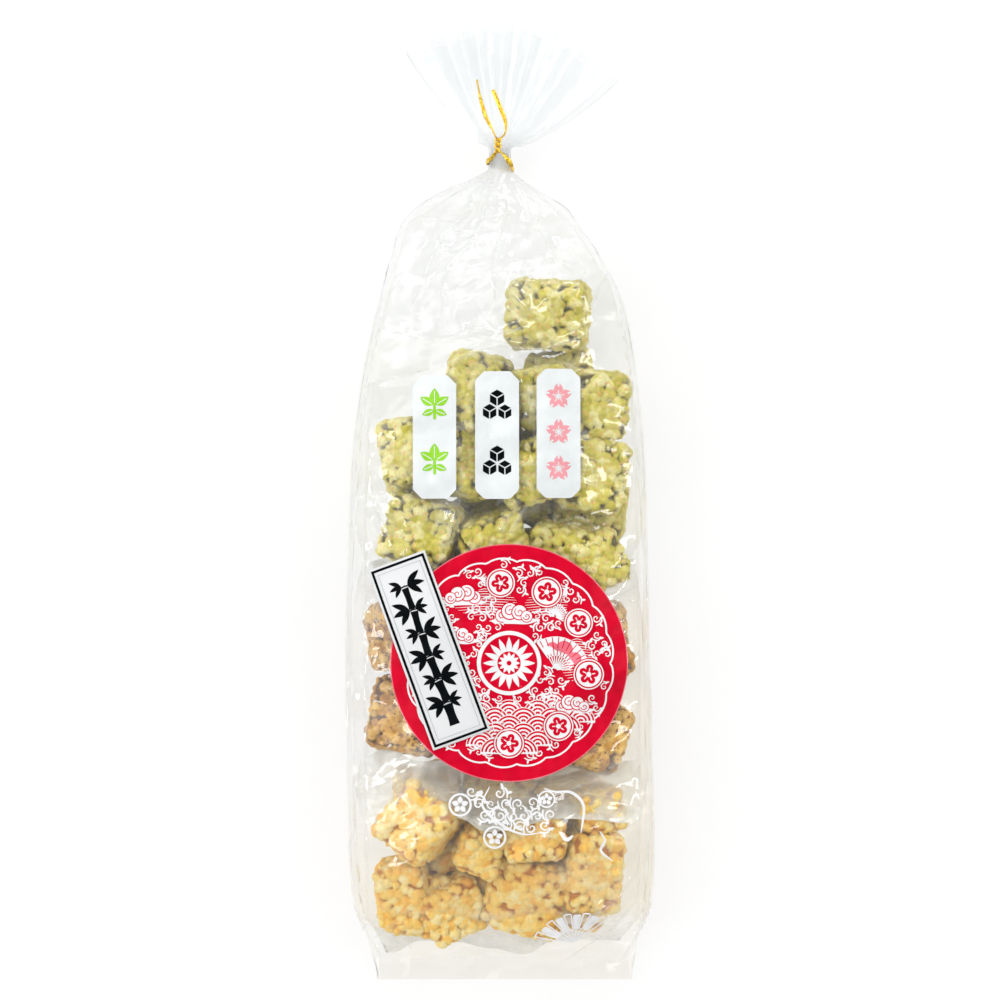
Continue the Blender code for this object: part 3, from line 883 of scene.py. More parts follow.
@dataclass(frozen=True)
class GrainyBlock:
    """Surface of one cracker: a rounded block covered with puffed grains.

    Formula: from the block's middle, each direction's distance is the furthest point of all the
    grains' balls along it, and where it meets no ball the block's own surface, set a little in. The
    block's surface along a direction d is (|dx/a|^p + |dy/b|^p + |dz/c|^p)^(-1/p).
    """

    cells: int
    power: float = 9.0
    grain_spacing: float = 3.6
    grain_radius: Pair = (1.8, 2.45)
    sunk_share: float = 0.78
    floor_depth: float = 1.7
    crumbs_per_grain: float = 2.3
    crumb_radius: Pair = (0.7, 1.15)

    def lattice(self) -> tuple[Array, Array]:
        """Points (n, 3) from -1 to 1 on a cube's six faces, joined along its edges, and its quads."""
        n = self.cells
        i, j = (g.ravel() for g in np.meshgrid(np.arange(n + 1), np.arange(n + 1), indexing="ij"))
        flat = np.zeros_like(i)
        full = np.full_like(i, n)
        sheets = ((flat, j, i), (full, i, j), (i, flat, j), (j, full, i), (j, i, flat), (i, j, full))
        corners = np.concatenate([np.stack(s, axis=1) for s in sheets])
        points, number = np.unique(corners, axis=0, return_inverse=True)
        per_sheet = (n + 1) ** 2
        quads = np.concatenate([grid_quads(n + 1, n + 1) + per_sheet * k for k in range(6)])
        return points / n * 2.0 - 1.0, number.ravel()[quads]

    def block_distance(self, directions: Array, half: Array) -> Array:
        """Distance from the middle to the block's surface along unit directions."""
        return (np.abs(directions / half) ** self.power).sum(-1) ** (-1.0 / self.power)

    def grains(self, rng: np.random.Generator, half: Array) -> tuple[Array, Array, Array]:
        """Balls of the grains, two for each so that a grain is longer than it is wide, and of crumbs on them.

        Args:
            rng: source of the random draws.
            half: the block's half sizes.

        Returns:
            Middles (n, 3), radii (n,) and each ball's grain tone from 0 to 1 (n,).
        """
        area = 8.0 * (half[0] * half[1] + half[1] * half[2] + half[0] * half[2])
        count = int(area / self.grain_spacing**2)
        number = np.arange(count) + 0.5
        height = 1.0 - 2.0 * number / count
        angle = number * math.pi * (3.0 - math.sqrt(5.0))
        ring = np.sqrt(1.0 - height**2)
        ball = np.stack((ring * np.cos(angle), ring * np.sin(angle), height), axis=1)
        ball += rng.normal(0.0, 0.045, ball.shape)
        towards = unit(ball * half)
        radius = rng.uniform(*self.grain_radius, count)
        recess = rng.choice((0.0, 0.0, 0.15, 0.4, 1.0), count)
        reach = self.block_distance(towards, half) - radius * self.sunk_share - recess
        middle = towards * reach[:, None]
        shift = unit(np.cross(towards, rng.normal(size=towards.shape)))
        shift *= (radius * rng.uniform(0.05, 0.45, count))[:, None]
        tone = rng.uniform(0.0, 1.0, count)
        chosen = rng.integers(0, count, int(count * self.crumbs_per_grain))
        way = unit(towards[chosen] + rng.normal(0.0, 0.10, (len(chosen), 3)))
        small = rng.uniform(*self.crumb_radius, len(chosen))
        sunk = rng.uniform(0.3, 1.0, len(chosen)) * small
        sunk += rng.choice((0.0, 0.9, 1.5), len(chosen), p=(0.4, 0.3, 0.3))
        crumbs = way * (self.block_distance(way, half) - sunk)[:, None]
        return (
            np.vstack((middle + shift, middle - shift, crumbs)),
            np.concatenate((radius, radius, small)),
            np.concatenate((tone, tone, rng.uniform(0.2, 1.0, len(chosen)))),
        )

    def surface(self, seed: int, half: Triple) -> tuple[Array, Array, Array]:
        """Points of one cracker about its own middle.

        Args:
            seed: seed of the cracker's random draws.
            half: its half sizes.

        Returns:
            Points (n, 3), the tone of each point's grain, and its depth from 0 on top of a grain to
            1 in a gap.
        """
        rng = np.random.default_rng(seed)
        size = np.array(half)
        points, _ = self.lattice()
        bent = np.tan(points * math.pi / 5.0) / math.tan(math.pi / 5.0)
        towards = unit(bent * size)
        middle, radius, tone = self.grains(rng, size)
        along = towards @ middle.T
        inside = radius**2 - (middle**2).sum(1) + along**2
        reach = np.where(inside > 0, along + np.sqrt(np.maximum(inside, 0.0)), 0.0)
        nearest = reach.argmax(1)
        block = self.block_distance(towards, size)
        furthest = np.maximum(reach.max(1), block - self.floor_depth)
        depth = np.clip((block + 0.7 - furthest) / 2.2, 0.0, 1.0)
        return towards * furthest[:, None], tone[nearest], depth


@dataclass
class CrackerHeap:
    """All the crackers, pushed apart where they would cross and kept inside the bag."""

    form: BagForm
    top_gap: float = 0.4
    bottom_gap: float = 0.5
    ball_radius: float = 5.2
    lowest_crumb: float = 0.9
    lowest_y: float = -169.5
    low_row_y: float = 19.0
    start_heights: Pair = (9.0, 32.0)
    closest_middles: float = 44.0
    first_seed: int = 500
    steps: int = 90
    middles: Array = field(default_factory=lambda: np.zeros((0, 3)))
    entries: list[tuple[Flavour, bool, Cracker]] = field(default_factory=list)

    def balls(self) -> Array:
        """27 balls inside each cracker, which stand for it while the heap settles, (n, 27, 3)."""
        corner = np.array([(i, j, k) for i in (-1, 0, 1) for j in (-1, 0, 1) for k in (-1, 0, 1)], float)
        crackers = [cracker for _, _, cracker in self.entries]
        rooms = [np.maximum(np.array(c.half) - self.ball_radius, 0.5) for c in crackers]
        return np.stack([(corner * room) @ c.rotation().T for c, room in zip(crackers, rooms)])

    def keep_inside(self, balls: Array, is_upper: Array) -> None:
        """Moves crackers off the film: upper ones float up to the front, lower ones sink to the back."""
        reach = np.abs(balls).max(1) + self.ball_radius
        left, right = np.array([SIDE_ROOM[flavour] for flavour, _, _ in self.entries]).T
        narrower = 0.3 * np.maximum(self.middles[:, 1] - 45.0, 0.0)
        left, right = left + narrower + reach[:, 0], right - narrower - reach[:, 0]
        self.middles[:, 0] = np.clip(self.middles[:, 0], left, right)
        self.middles[:, 1] = np.maximum(self.middles[:, 1], reach[:, 1] + self.lowest_y)
        sunk = np.array([cracker.sunk for _, _, cracker in self.entries])
        at = self.middles[:, None] + balls
        top = self.form.front_height(at[..., 0], at[..., 1]) - self.top_gap - self.ball_radius
        low = self.form.back_height(at[..., 0], at[..., 1]) + self.bottom_gap + self.ball_radius
        highest = (top - balls[..., 2]).min(1) - sunk
        lowest = (low - balls[..., 2]).max(1)
        floated = self.middles[:, 2] + np.where(is_upper, 0.25, -0.25)
        self.middles[:, 2] = np.minimum(np.maximum(floated, lowest), highest)

    def settle(self) -> None:
        """Places the crackers, then pushes apart those whose balls overlap, half of the overlap at a time."""
        for upper, crackers in ((True, UPPER_CRACKERS), (False, LOWER_CRACKERS)):
            self.entries += [(kind, upper, c) for kind, row in crackers.items() for c in row]
        drop = np.random.default_rng(5).uniform(0.0, 5.0, len(self.entries))
        self.middles = np.array([(c.x, c.y, self.start_heights[upper]) for _, upper, c in self.entries])
        self.middles[:, 2] -= drop
        is_upper = np.array([upper for _, upper, _ in self.entries])
        weight = np.where(is_upper, 0.3, 0.7)
        balls = self.balls()
        self.keep_inside(balls, is_upper)
        for _ in range(self.steps):
            gap = np.linalg.norm(self.middles[:, None] - self.middles[None], axis=-1)
            first, second = np.nonzero(np.triu(gap < self.closest_middles, 1))
            between = (self.middles[first, None] + balls[first])[:, :, None]
            between = between - (self.middles[second, None] + balls[second])[:, None]
            distance = np.linalg.norm(between, axis=-1).reshape(len(first), -1)
            worst = distance.argmin(1)
            rows = np.arange(len(first))
            near = distance[rows, worst]
            push = between.reshape(len(first), -1, 3)[rows, worst] / np.maximum(near, 0.1)[:, None]
            push *= np.clip(2 * self.ball_radius - near, 0.0, 3.0)[:, None] * 0.5
            total = weight[first] + weight[second]
            np.add.at(self.middles, first, push * (weight[first] / total)[:, None])
            np.add.at(self.middles, second, -push * (weight[second] / total)[:, None])
            self.keep_inside(balls, is_upper)
        LOG.info("closest balls after settling: %.2f mm of %.2f", near.min(), 2 * self.ball_radius)

    def row_of(self, flavour: Flavour, is_upper: bool, cracker: Cracker) -> str:
        """Name of the mesh that a cracker belongs to: the upper green tea ones are too many for one."""
        if not is_upper:
            return "back_row"
        is_low = flavour is Flavour.GREEN_TEA and cracker.y < self.low_row_y
        return "front_row_low" if is_low else "front_row"

    def build(self, finishes: dict[Flavour, Material]) -> Array:
        """Makes the meshes of each flavour, its upper and its lower crackers apart.

        Args:
            finishes: each flavour's material.

        Returns:
            All points of the crackers.
        """
        everything = []
        for row, cells in (("front_row", 44), ("front_row_low", 44), ("back_row", 30)):
            block = GrainyBlock(cells)
            _, quads = block.lattice()
            for flavour in Flavour:
                parts, tones, depths = [], [], []
                for number, entry in enumerate(self.entries):
                    if entry[0] is not flavour or self.row_of(*entry) != row:
                        continue
                    surface, tone, depth = block.surface(self.first_seed + number, entry[2].half)
                    placed = surface @ entry[2].rotation().T + self.middles[number]
                    placed[:, 2] = np.maximum(placed[:, 2], self.lowest_crumb)
                    parts.append((placed, quads))
                    tones.append(tone)
                    depths.append(depth)
                if parts:
                    # depth feeds the shade painted into the gaps between grains
                    stored = {"tone": np.concatenate(tones), "depth": np.concatenate(depths)}
                    name = f"{flavour.value}_crackers_{row}"
                    make_piece(name, joined(parts), [finishes[flavour]], values=stored)
                    everything += [points for points, _ in parts]
        return np.vstack(everything)


@dataclass(frozen=True)
class Crease:
    """One fold line in the front film: its points, the width of the fold and how high it stands."""

    points: tuple[Pair, ...]
    width: float
    height: float


CREASES: tuple[Crease, ...] = (
    Crease(((-50.5, -168), (-50.8, -60), (-50.4, 10), (-48, 45)), 2.4, 1.5),
    Crease(((52.4, -168), (52.6, -60), (51.4, 10), (49.4, 45)), 2.4, 1.5),
    Crease(((-49.7, 11.7), (-47.8, 0.2), (-40.1, -18.9)), 1.8, 1.5),
    Crease(((-51.5, 43.5), (-40, 46), (-26.5, 49.5)), 2.4, 1.3),
    Crease(((-26.5, 49.5), (-2, 57.5), (14, 57), (34, 62.5)), 2.6, 1),
    Crease(((-46, 66), (-24, 59.5), (-4, 62), (12, 66)), 3, 0.9),
    Crease(((0.2, -12), (7.6, 0.4)), 1.3, 1.2),
    Crease(((3.6, -13.4), (10.4, -1)), 1.3, 1.2),
    Crease(((26.5, 76.5), (33, 88)), 1.4, 1.1),
    Crease(((33.5, 72), (41, 87)), 1.5, 1.1),
    Crease(((3, 80), (8, 84), (12, 82)), 1.8, 1),
    Crease(((47, 56), (49.5, 50), (48, 43)), 1.4, 1.2),
    Crease(((-6.8, 127), (-12, 113), (-24, 97), (-34, 70)), 3.2, 1.6),
    Crease(((-2, 126), (-8, 106), (-20, 88), (-22, 66)), 2.8, 1.3),
    Crease(((-19, 103.5), (-10, 100), (-19.5, 94), (-24, 101)), 2.4, 1.2),
    Crease(((2, 126), (2, 108), (-3, 92), (-2, 76)), 2.8, 1.3),
    Crease(((4.5, 126), (12, 112), (17, 98), (28, 86)), 2.8, 1.4),
    Crease(((6.6, 125), (18, 114), (29, 104), (37, 90)), 3, 1.3),
    Crease(((-30, 109), (-12, 106), (6, 110)), 2.6, 0.9),
    Crease(((-38, 84), (-20, 80), (-4, 86), (10, 92), (30, 90)), 3, 1),
    Crease(((-56, -154), (-51, -166), (-46, -176)), 2.6, 1.4),
    Crease(((57.5, -153), (53, -166), (47, -177)), 2.6, 1.4),
    Crease(((26, -176), (40, -165), (51.5, -152)), 2.4, 1.2),
    Crease(((30, -158), (42, -153), (51.5, -141)), 2, 1.2),
    Crease(((-49, -168), (-38, -160), (-34, -172)), 2.4, 0.9),
)


def crease_relief(x: Array, y: Array, creases: Sequence[Crease]) -> Array:
    """Height that the creases add at points x, y.

    Formula: along each straight run of a crease, height * max(0, 1 - distance / width), made lower
    towards the crease's two ends. The highest crease counts.
    """
    total = np.zeros_like(x)
    for crease in creases:
        line = smooth_line(crease.points, 5 * len(crease.points))
        share = np.linspace(0.0, 1.0, len(line))
        for i in range(len(line) - 1):
            a, b = line[i], line[i + 1]
            run = b - a
            t = np.clip(((x - a[0]) * run[0] + (y - a[1]) * run[1]) / (run @ run), 0.0, 1.0)
            away = np.hypot(x - a[0] - t * run[0], y - a[1] - t * run[1])
            along = share[i] + t * (share[i + 1] - share[i])
            end = ease(np.minimum(along, 1.0 - along) * 6.0 + 0.25)
            total = np.maximum(total, crease.height * end * np.maximum(0.0, 1.0 - away / crease.width))
    return total


def crease_whitening(x: Array, y: Array) -> Array:
    """How white the film is bent along its creases, from 0 to 0.9, at points x, y."""
    lines = [Crease(c.points, 0.75, 0.6 * min(1.5, c.height)) for c in CREASES]
    return crease_relief(x, y, lines)


@dataclass
class FrontFilm:
    """Height of the front of the outer film and of the inner bags over the crackers."""

    form: BagForm
    label_middle: Pair
    label_half: Pair
    label_slant: float
    step: float = 1.0
    low: Pair = (-62.0, -187.0)
    high: Pair = (62.0, 136.0)
    inner_gap: float = 0.4
    outer_gap: float = 0.5
    inner_slack: float = 5.0
    outer_slack: float = 1.6
    inner: HeightMap | None = None
    outer: HeightMap | None = None

    def grid(self) -> tuple[Array, Array]:
        """X and Y of the height grid's points."""
        x, y = (np.arange(low, high + self.step / 2, self.step) for low, high in zip(self.low, self.high))
        return np.meshgrid(x, y)

    def cracker_tops(self, x: Array, points: Array) -> Array:
        """Height of the highest cracker in each cell of the grid, -99 where there is none."""
        tops = np.full(x.shape, -99.0)
        column, row = (np.rint((points[:, i] - self.low[i]) / self.step).astype(int) for i in (0, 1))
        inside = (column > 0) & (column < x.shape[1] - 1) & (row > 0) & (row < x.shape[0] - 1)
        np.maximum.at(tops, (row[inside], column[inside]), points[inside, 2])
        for axis in (0, 1, 0, 1):
            tops = np.maximum(tops, np.maximum(np.roll(tops, 1, axis), np.roll(tops, -1, axis)))
        return tops

    def stretch_over(self, under: Array, low: Array, start: Array, fixed: Array, rounds: int) -> Array:
        """Film pulled tight over what is under it.

        Formula: each free point moves to the mean of its four neighbours, but never below what is
        under it nor below low, again and again.
        """
        floor = np.maximum(under, low)
        height = np.maximum(start, floor)
        for _ in range(rounds):
            mean = height.copy()
            mean[1:-1, 1:-1] = 0.25 * self.neighbours(height)
            height = np.where(fixed, start, np.maximum(mean, floor))
        return height

    def neighbours(self, height: Array) -> Array:
        """Sum of the four neighbours of each point inside the grid."""
        return height[2:, 1:-1] + height[:-2, 1:-1] + height[1:-1, 2:] + height[1:-1, :-2]

    def soften(self, height: Array, times: int) -> Array:
        """Heights blurred by a small cross-shaped mean, several times."""
        for _ in range(times):
            blurred = 0.5 * height[1:-1, 1:-1] + 0.125 * self.neighbours(height)
            height = height.copy()
            height[1:-1, 1:-1] = blurred
        return height

    def label_mask(self, x: Array, y: Array, rim: float) -> Array:
        """1 under the paper label, falling to 0 over rim mm around it."""
        away = np.stack((x.ravel(), y.ravel()), axis=1) - self.label_middle
        over = (np.abs(turned(away, -self.label_slant)) - self.label_half).max(1)
        return (1.0 - ease(over / rim)).reshape(x.shape)

    def solve(self, cracker_points: Array) -> None:
        """Works out both height maps, as differences from the form's own front."""
        x, y = self.grid()
        form_top = self.form.front_height(x, y)
        _, lift = self.form.side_and_lift(x, y)
        fixed = (lift < 0.45) | (y < -176.0) | (y > 124.0)
        tops = self.cracker_tops(x, cracker_points)
        lowest = form_top - self.inner_slack
        inner = self.stretch_over(tops + self.inner_gap, lowest, form_top - 0.5, fixed, 500)
        inner = np.where(fixed, form_top - 0.5, inner)
        lowest = form_top - self.outer_slack
        outer = self.stretch_over(inner + self.outer_gap, lowest, form_top + 0.2, fixed, 700)
        outer = self.soften(outer, 7)
        free = ease((lift - 0.35) / 0.4) * ease((y + 182.0) / 8.0) * ease((128.0 - y) / 6.0)
        loose = ease((y - 55.0) / 30.0) + 0.6 * ease((-160.0 - y) / 10.0)
        folds = crease_relief(x, y, CREASES)
        facets = folds_in_facets(x, y, 11, 26.0, 0.26) * (0.8 + 0.6 * loose)
        facets += folds_in_facets(x, y, 41, 11.0, 0.13) * (0.8 + 0.5 * loose)
        small = crinkle(x, y, 11, 11.0) * (0.12 + 0.15 * loose)
        waves = (folds + facets + small + gathers(x, y, self.form.neck_y, 0.30)) * free
        under_label = self.label_mask(x, y, 5.0)
        flat_film = self.soften(outer, 60)
        outer = outer + waves
        outer = outer + (flat_film + 0.6 - outer) * under_label
        self.outer = HeightMap(*self.low, self.step, outer - form_top)
        crumple = folds_in_facets(x, y, 51, 13.0, 0.22) + folds_in_facets(x, y, 71, 24.0, 0.30)
        inner = self.soften(inner, 3) + (crumple - 0.30) * free
        inner = np.minimum(inner, outer - 0.25)
        self.inner = HeightMap(*self.low, self.step, inner - form_top)

    def height(self, x: Array, y: Array) -> Array:
        """Height of the outer film's front at points x, y."""
        return self.form.front_height(x, y) + self.outer.at(x, y)

    def inner_height(self, x: Array, y: Array) -> Array:
        """Height of the inner bags' front at points x, y."""
        return self.form.front_height(x, y) + self.inner.at(x, y)


@dataclass
class OuterFilm:
    """The outer film: body with seal, and neck with flared top, as two pieces of one sleeve."""

    form: BagForm
    front: FrontFilm
    front_columns: int = 156
    back_columns: int = 70
    body_rows: int = 400
    top_rows: int = 120
    split_y: float = 129.5
    gusset_depth: float = 3.4
    gusset_width: float = 4.5

    def body_height(self, side: Array, lift: Array, x: Array, along: Array, y: Array, way: float) -> Array:
        """Height of the body's front, way 1, or of its back, way -1, in the sections y."""
        bottom, middle, top = (level[:, None] for level in self.form.levels(y))
        pleats = self.form.shoulder_pleats(side * way, along) * lift**2
        if way > 0:
            return middle + (top - middle) * lift + pleats + self.front.outer.at(x, along)
        return middle - (middle - bottom) * lift - pleats * ease((along - 96.0) / 20.0)

    def body_sleeve(self, y: Array) -> tuple[Array, Array]:
        """Points of the sleeve's sections below the neck, (rows, columns, 3), and their quads."""
        parts = []
        for columns, way in ((self.front_columns, 1.0), (self.back_columns, -1.0)):
            side, lift = self.form.sides(y, columns)
            x, along = self.form.place(side, y)
            height = self.body_height(side, lift, x, along, y, way)
            if way < 0:
                waves = crinkle(x, along, 91, 14.0) * 0.5 * ease(lift * 2 - 0.6)
                height = np.maximum(height + waves, 0.2)
            parts.append(np.stack((x, along, height, side), axis=-1))
        ring, quads = sleeve_of(*parts)
        side, height, section = ring[..., 3], ring[..., 2], np.broadcast_to(y[:, None], ring.shape[:2])
        middle = self.form.levels(y)[1][:, None]
        ring[..., 0] -= np.sign(side) * self.gusset_fold(height, middle, side, section)
        return ring[..., :3], quads

    def gusset_fold(self, z: Array, middle: Array, side: Array, y: Array) -> Array:
        """How far the gusset's middle fold is drawn in, deepest at half height and only at the sides."""
        fold = np.maximum(0.0, 1.0 - np.abs(z - middle) / self.gusset_width)
        reach = ease((np.abs(side) - 0.9) / 0.08) * ease((y + 176.0) / 20.0) * ease((92.0 - y) / 30.0)
        ripple = 1.0 + 0.3 * Noise(141, 17.0).at(y, z)
        return self.gusset_depth * fold * reach * ripple

    def fan_pleats(self, side: Array, share: Array, seed: int) -> Array:
        """Height of one leaf of the flared top.

        Formula: the solid's own triangle wave of 3.4 folds for each half, with finer folds of random
        places and depths added, all deeper towards the rim, and the corners hanging lower.
        """
        phase = TAU * (3.4 * side + 0.22 * np.sin(3.1 * side + 0.6)) + 0.9
        broad = 2 / math.pi * np.arcsin(0.96 * np.sin(phase))
        fine = crinkle(side * 40.0, share * 9.0, seed, 4.6, 2.0) * 0.22
        fine = fine + folds_in_facets(side * 42.0, share * 20.0, seed + 3, 13.0, 0.34)
        soft = Noise(seed + 9, 9.0).at(side * 40.0, share * 22.0) * 1.1
        wave = 3.6 * share**0.9 * (1.0 - 0.35 * side**2) * broad
        return wave + (fine + soft) * share**0.7 - self.form.fan_corner_drop * side**2 * ease(share)

    def top_sleeve(self, y: Array) -> tuple[Array, Array]:
        """Points of the neck's and the flared top's sections, (rows, columns, 3), and their quads."""
        share = self.form.fan_share(y)[:, None]
        thin = self.form.fan_half_thickness
        thin = thin + (self.form.neck_half - thin) * (1.0 - share) ** 3
        blend = ease((y[:, None] - self.split_y) / 6.0)
        parts = []
        halves = ((self.front_columns, 171, 181, 1.0), (self.back_columns, 172, 191, -1.0))
        for columns, rim_seed, seed, way in halves:
            side, lift = self.form.sides(y, columns)
            rim = 1.0 + share**3 * 0.022 * Noise(rim_seed, 5.0).at(side * 40.0, 0 * side)
            x, along = self.form.place(side, y)
            x, along = x * rim, self.form.neck_y + (along - self.form.neck_y) * rim
            gather = crinkle(side * 12.0, 0 * side + 3.0, seed + 4, 1.6) * 1.1 * (1 - share) ** 2 * lift
            height = self.form.neck_z + self.fan_pleats(side, share, seed) + way * (thin * lift + gather)
            body = self.body_height(side, lift, x, along, y, way)
            parts.append(np.stack((x, along, body + (height - body) * blend), axis=-1))
        return sleeve_of(*parts)

    def build(self, body_film: Material, top_film: Material) -> None:
        """Makes the two pieces, which replace the bag's solid."""
        neck, length = self.form.neck_y, self.form.fan_length
        stretches = ((-184.8, -150.0, 60), (-149.2, 96.0, self.body_rows - 110), (96.7, self.split_y, 50))
        body, body_quads = self.body_sleeve(np.concatenate([np.linspace(*stretch) for stretch in stretches]))
        rim_rows = neck + length * np.linspace(0.13, 1.0, self.top_rows - 40)
        neck_rows = np.linspace(self.split_y, neck + 6.0, 40)
        top, top_quads = self.top_sleeve(np.concatenate((neck_rows, rim_rows)))
        top[0] = body[-1]
        is_front = np.arange(body.shape[1]) <= self.front_columns
        on_front = np.broadcast_to(is_front, body.shape[:2]).ravel()
        body, top = body.reshape(-1, 3), top.reshape(-1, 3)
        whitened = on_front * crease_whitening(body[:, 0], body[:, 1])
        bunch = np.maximum(self.form.bunching(body[:, 1]), whitened)
        make_piece("outer_film_body", (body, body_quads), [body_film], node="bag", values={"bunch": bunch})
        bunch = self.form.bunching(top[:, 1])
        make_piece("outer_film_top", (top, top_quads), [top_film], node="bag", values={"bunch": bunch})


@dataclass(frozen=True)
class GatheredFilm:
    """The gussets' folds inside the neck and the flared top: sheets bunched between front and back.

    Formula: each sheet is the flared top's middle height plus its own pleats, which take up the
    share of the room between front and back that lies at its level.
    """

    form: BagForm
    sleeve: OuterFilm
    columns: int = 130
    rows: int = 90
    reach: tuple[float, ...] = (0.95, 0.90)
    levels: tuple[float, ...] = (-0.3, 0.3)

    def build(self, film: Material) -> None:
        """Makes the sheets as one object."""
        neck, parts = self.form.neck_y, []
        y = np.linspace(neck - 6.0, neck + self.form.fan_length * 0.97, self.rows)
        share = self.form.fan_share(y)[:, None]
        below = np.clip((neck - y[:, None]) / 6.0, 0.0, 1.0)
        room = self.form.neck_half * 0.8 * (1.0 - share) ** 2 + self.form.fan_half_thickness * 0.4
        for k, (reach, level) in enumerate(zip(self.reach, self.levels)):
            side = np.broadcast_to(np.linspace(1.0, -1.0, self.columns), (self.rows, self.columns)) * reach
            x, along = self.form.place(side, y)
            rim = 1.0 - 0.05 * share**4 * (1.0 + Noise(640 + k, 6.0).at(side * 40.0, 0 * side))
            x, along = x * rim, neck + (along - neck) * np.where(along > neck, rim, 1.0)
            bunch = folds_in_facets(side * 9.0, 0.1 * along, 650 + k, 2.4, 2.2) * (1.0 - share) ** 2
            pleats = self.sleeve.fan_pleats(side, share, 660 + 10 * k) * (1.0 - 0.5 * below)
            height = self.form.neck_z + pleats + level * room + np.clip(bunch, -0.8, 0.8) * room
            points = np.stack((x, along, height), axis=-1).reshape(-1, 3)
            parts.append((points, grid_quads(self.rows, self.columns)[:, ::-1]))
        surface = joined(parts)
        make_piece("gathered_film", surface, [film], values={"bunch": self.form.bunching(surface[0][:, 1])})


@dataclass(frozen=True)
class InnerBag:
    """One crinkled inner bag: a sleeve round a flavour's crackers whose two ends are pressed flat."""

    name: str
    low_y: float
    high_y: float
    end_height: Pair
    inset: float = 2.2
    taper: float = 16.0
    end_haze: float = 0.9
    seed: int = 0

    def build(self, form: BagForm, front: FrontFilm, film: Material) -> None:
        """Makes the inner bag.

        Formula: its front follows the film over the crackers and its back lies on the outer bag's
        back. Towards each end both run to that end's height, and all of it is crumpled by ridges.

        Args:
            form: the outer bag's form.
            front: the films' heights.
            film: the inner film's material.
        """
        y = np.linspace(self.low_y, self.high_y, max(60, int(self.high_y - self.low_y)))
        pulled_in = 1.0 - np.abs(np.linspace(-1.0, 1.0, len(y))[:, None]) ** 7
        left, right = (edge[:, None] for edge in form.edges(y))
        low_end = ease((y - self.low_y) / self.taper)[:, None]
        high_end = ease((self.high_y - y) / self.taper)[:, None]
        full = np.minimum(low_end, high_end)
        half = (right - left) / 2 - self.inset - 3.0 * (1 - full)
        end = np.where(low_end < high_end, *self.end_height)
        parts = []
        for columns, is_front in ((100, True), (40, False)):
            side, _ = form.sides(y, columns)
            x = (left + right) / 2 + half * side
            along = np.broadcast_to(y[:, None], x.shape)
            rim = np.sign(along - y.mean()) * (1.0 - pulled_in)
            along = along + rim * (3.2 * Noise(self.seed + 6, 13.0).at(x, 0 * x) - 1.5)
            edge_waves = Noise(self.seed + 5, 7.0).at(x, along) * 1.6
            x = x - np.sign(side) * (0.6 + edge_waves * 0.5) * ease((np.abs(side) - 0.85) / 0.1)
            crumple = folds_in_facets(x, along, self.seed + 17, 9.0, 0.8) * (1 - full)
            crumple = crumple + crinkle(x, along, self.seed + 19, 4.0) * 0.9 * (1 - full)
            rest = end * form.front_height(x, along) / 44.0 + crumple
            back = form.back_height(x, along)
            height = front.inner_height(x, along) - 0.4
            if not is_front:
                height = back + 0.5 + 0.4 * (1 + crinkle(x, along, self.seed + 27, 8.0))
            floor = back + 0.35
            ceiling = np.maximum(front.height(x, along) - 0.4, floor)
            height = np.clip(rest + (height - rest) * full, floor, ceiling)
            parts.append(np.stack((x, along, height), axis=-1))
        ring, quads = sleeve_of(*parts)
        pressed = np.broadcast_to(self.end_haze * (1.0 - full), ring.shape[:2]).ravel()
        flat = ring.reshape(-1, 3)
        bunch = pressed * (0.85 + 0.6 * crinkle(flat[:, 0], flat[:, 1], self.seed + 31, 7.0, 1.5))
        bunch = np.maximum(bunch, form.bunching(flat[:, 1]))
        make_piece(self.name, (flat, quads), [film], values={"bunch": bunch})


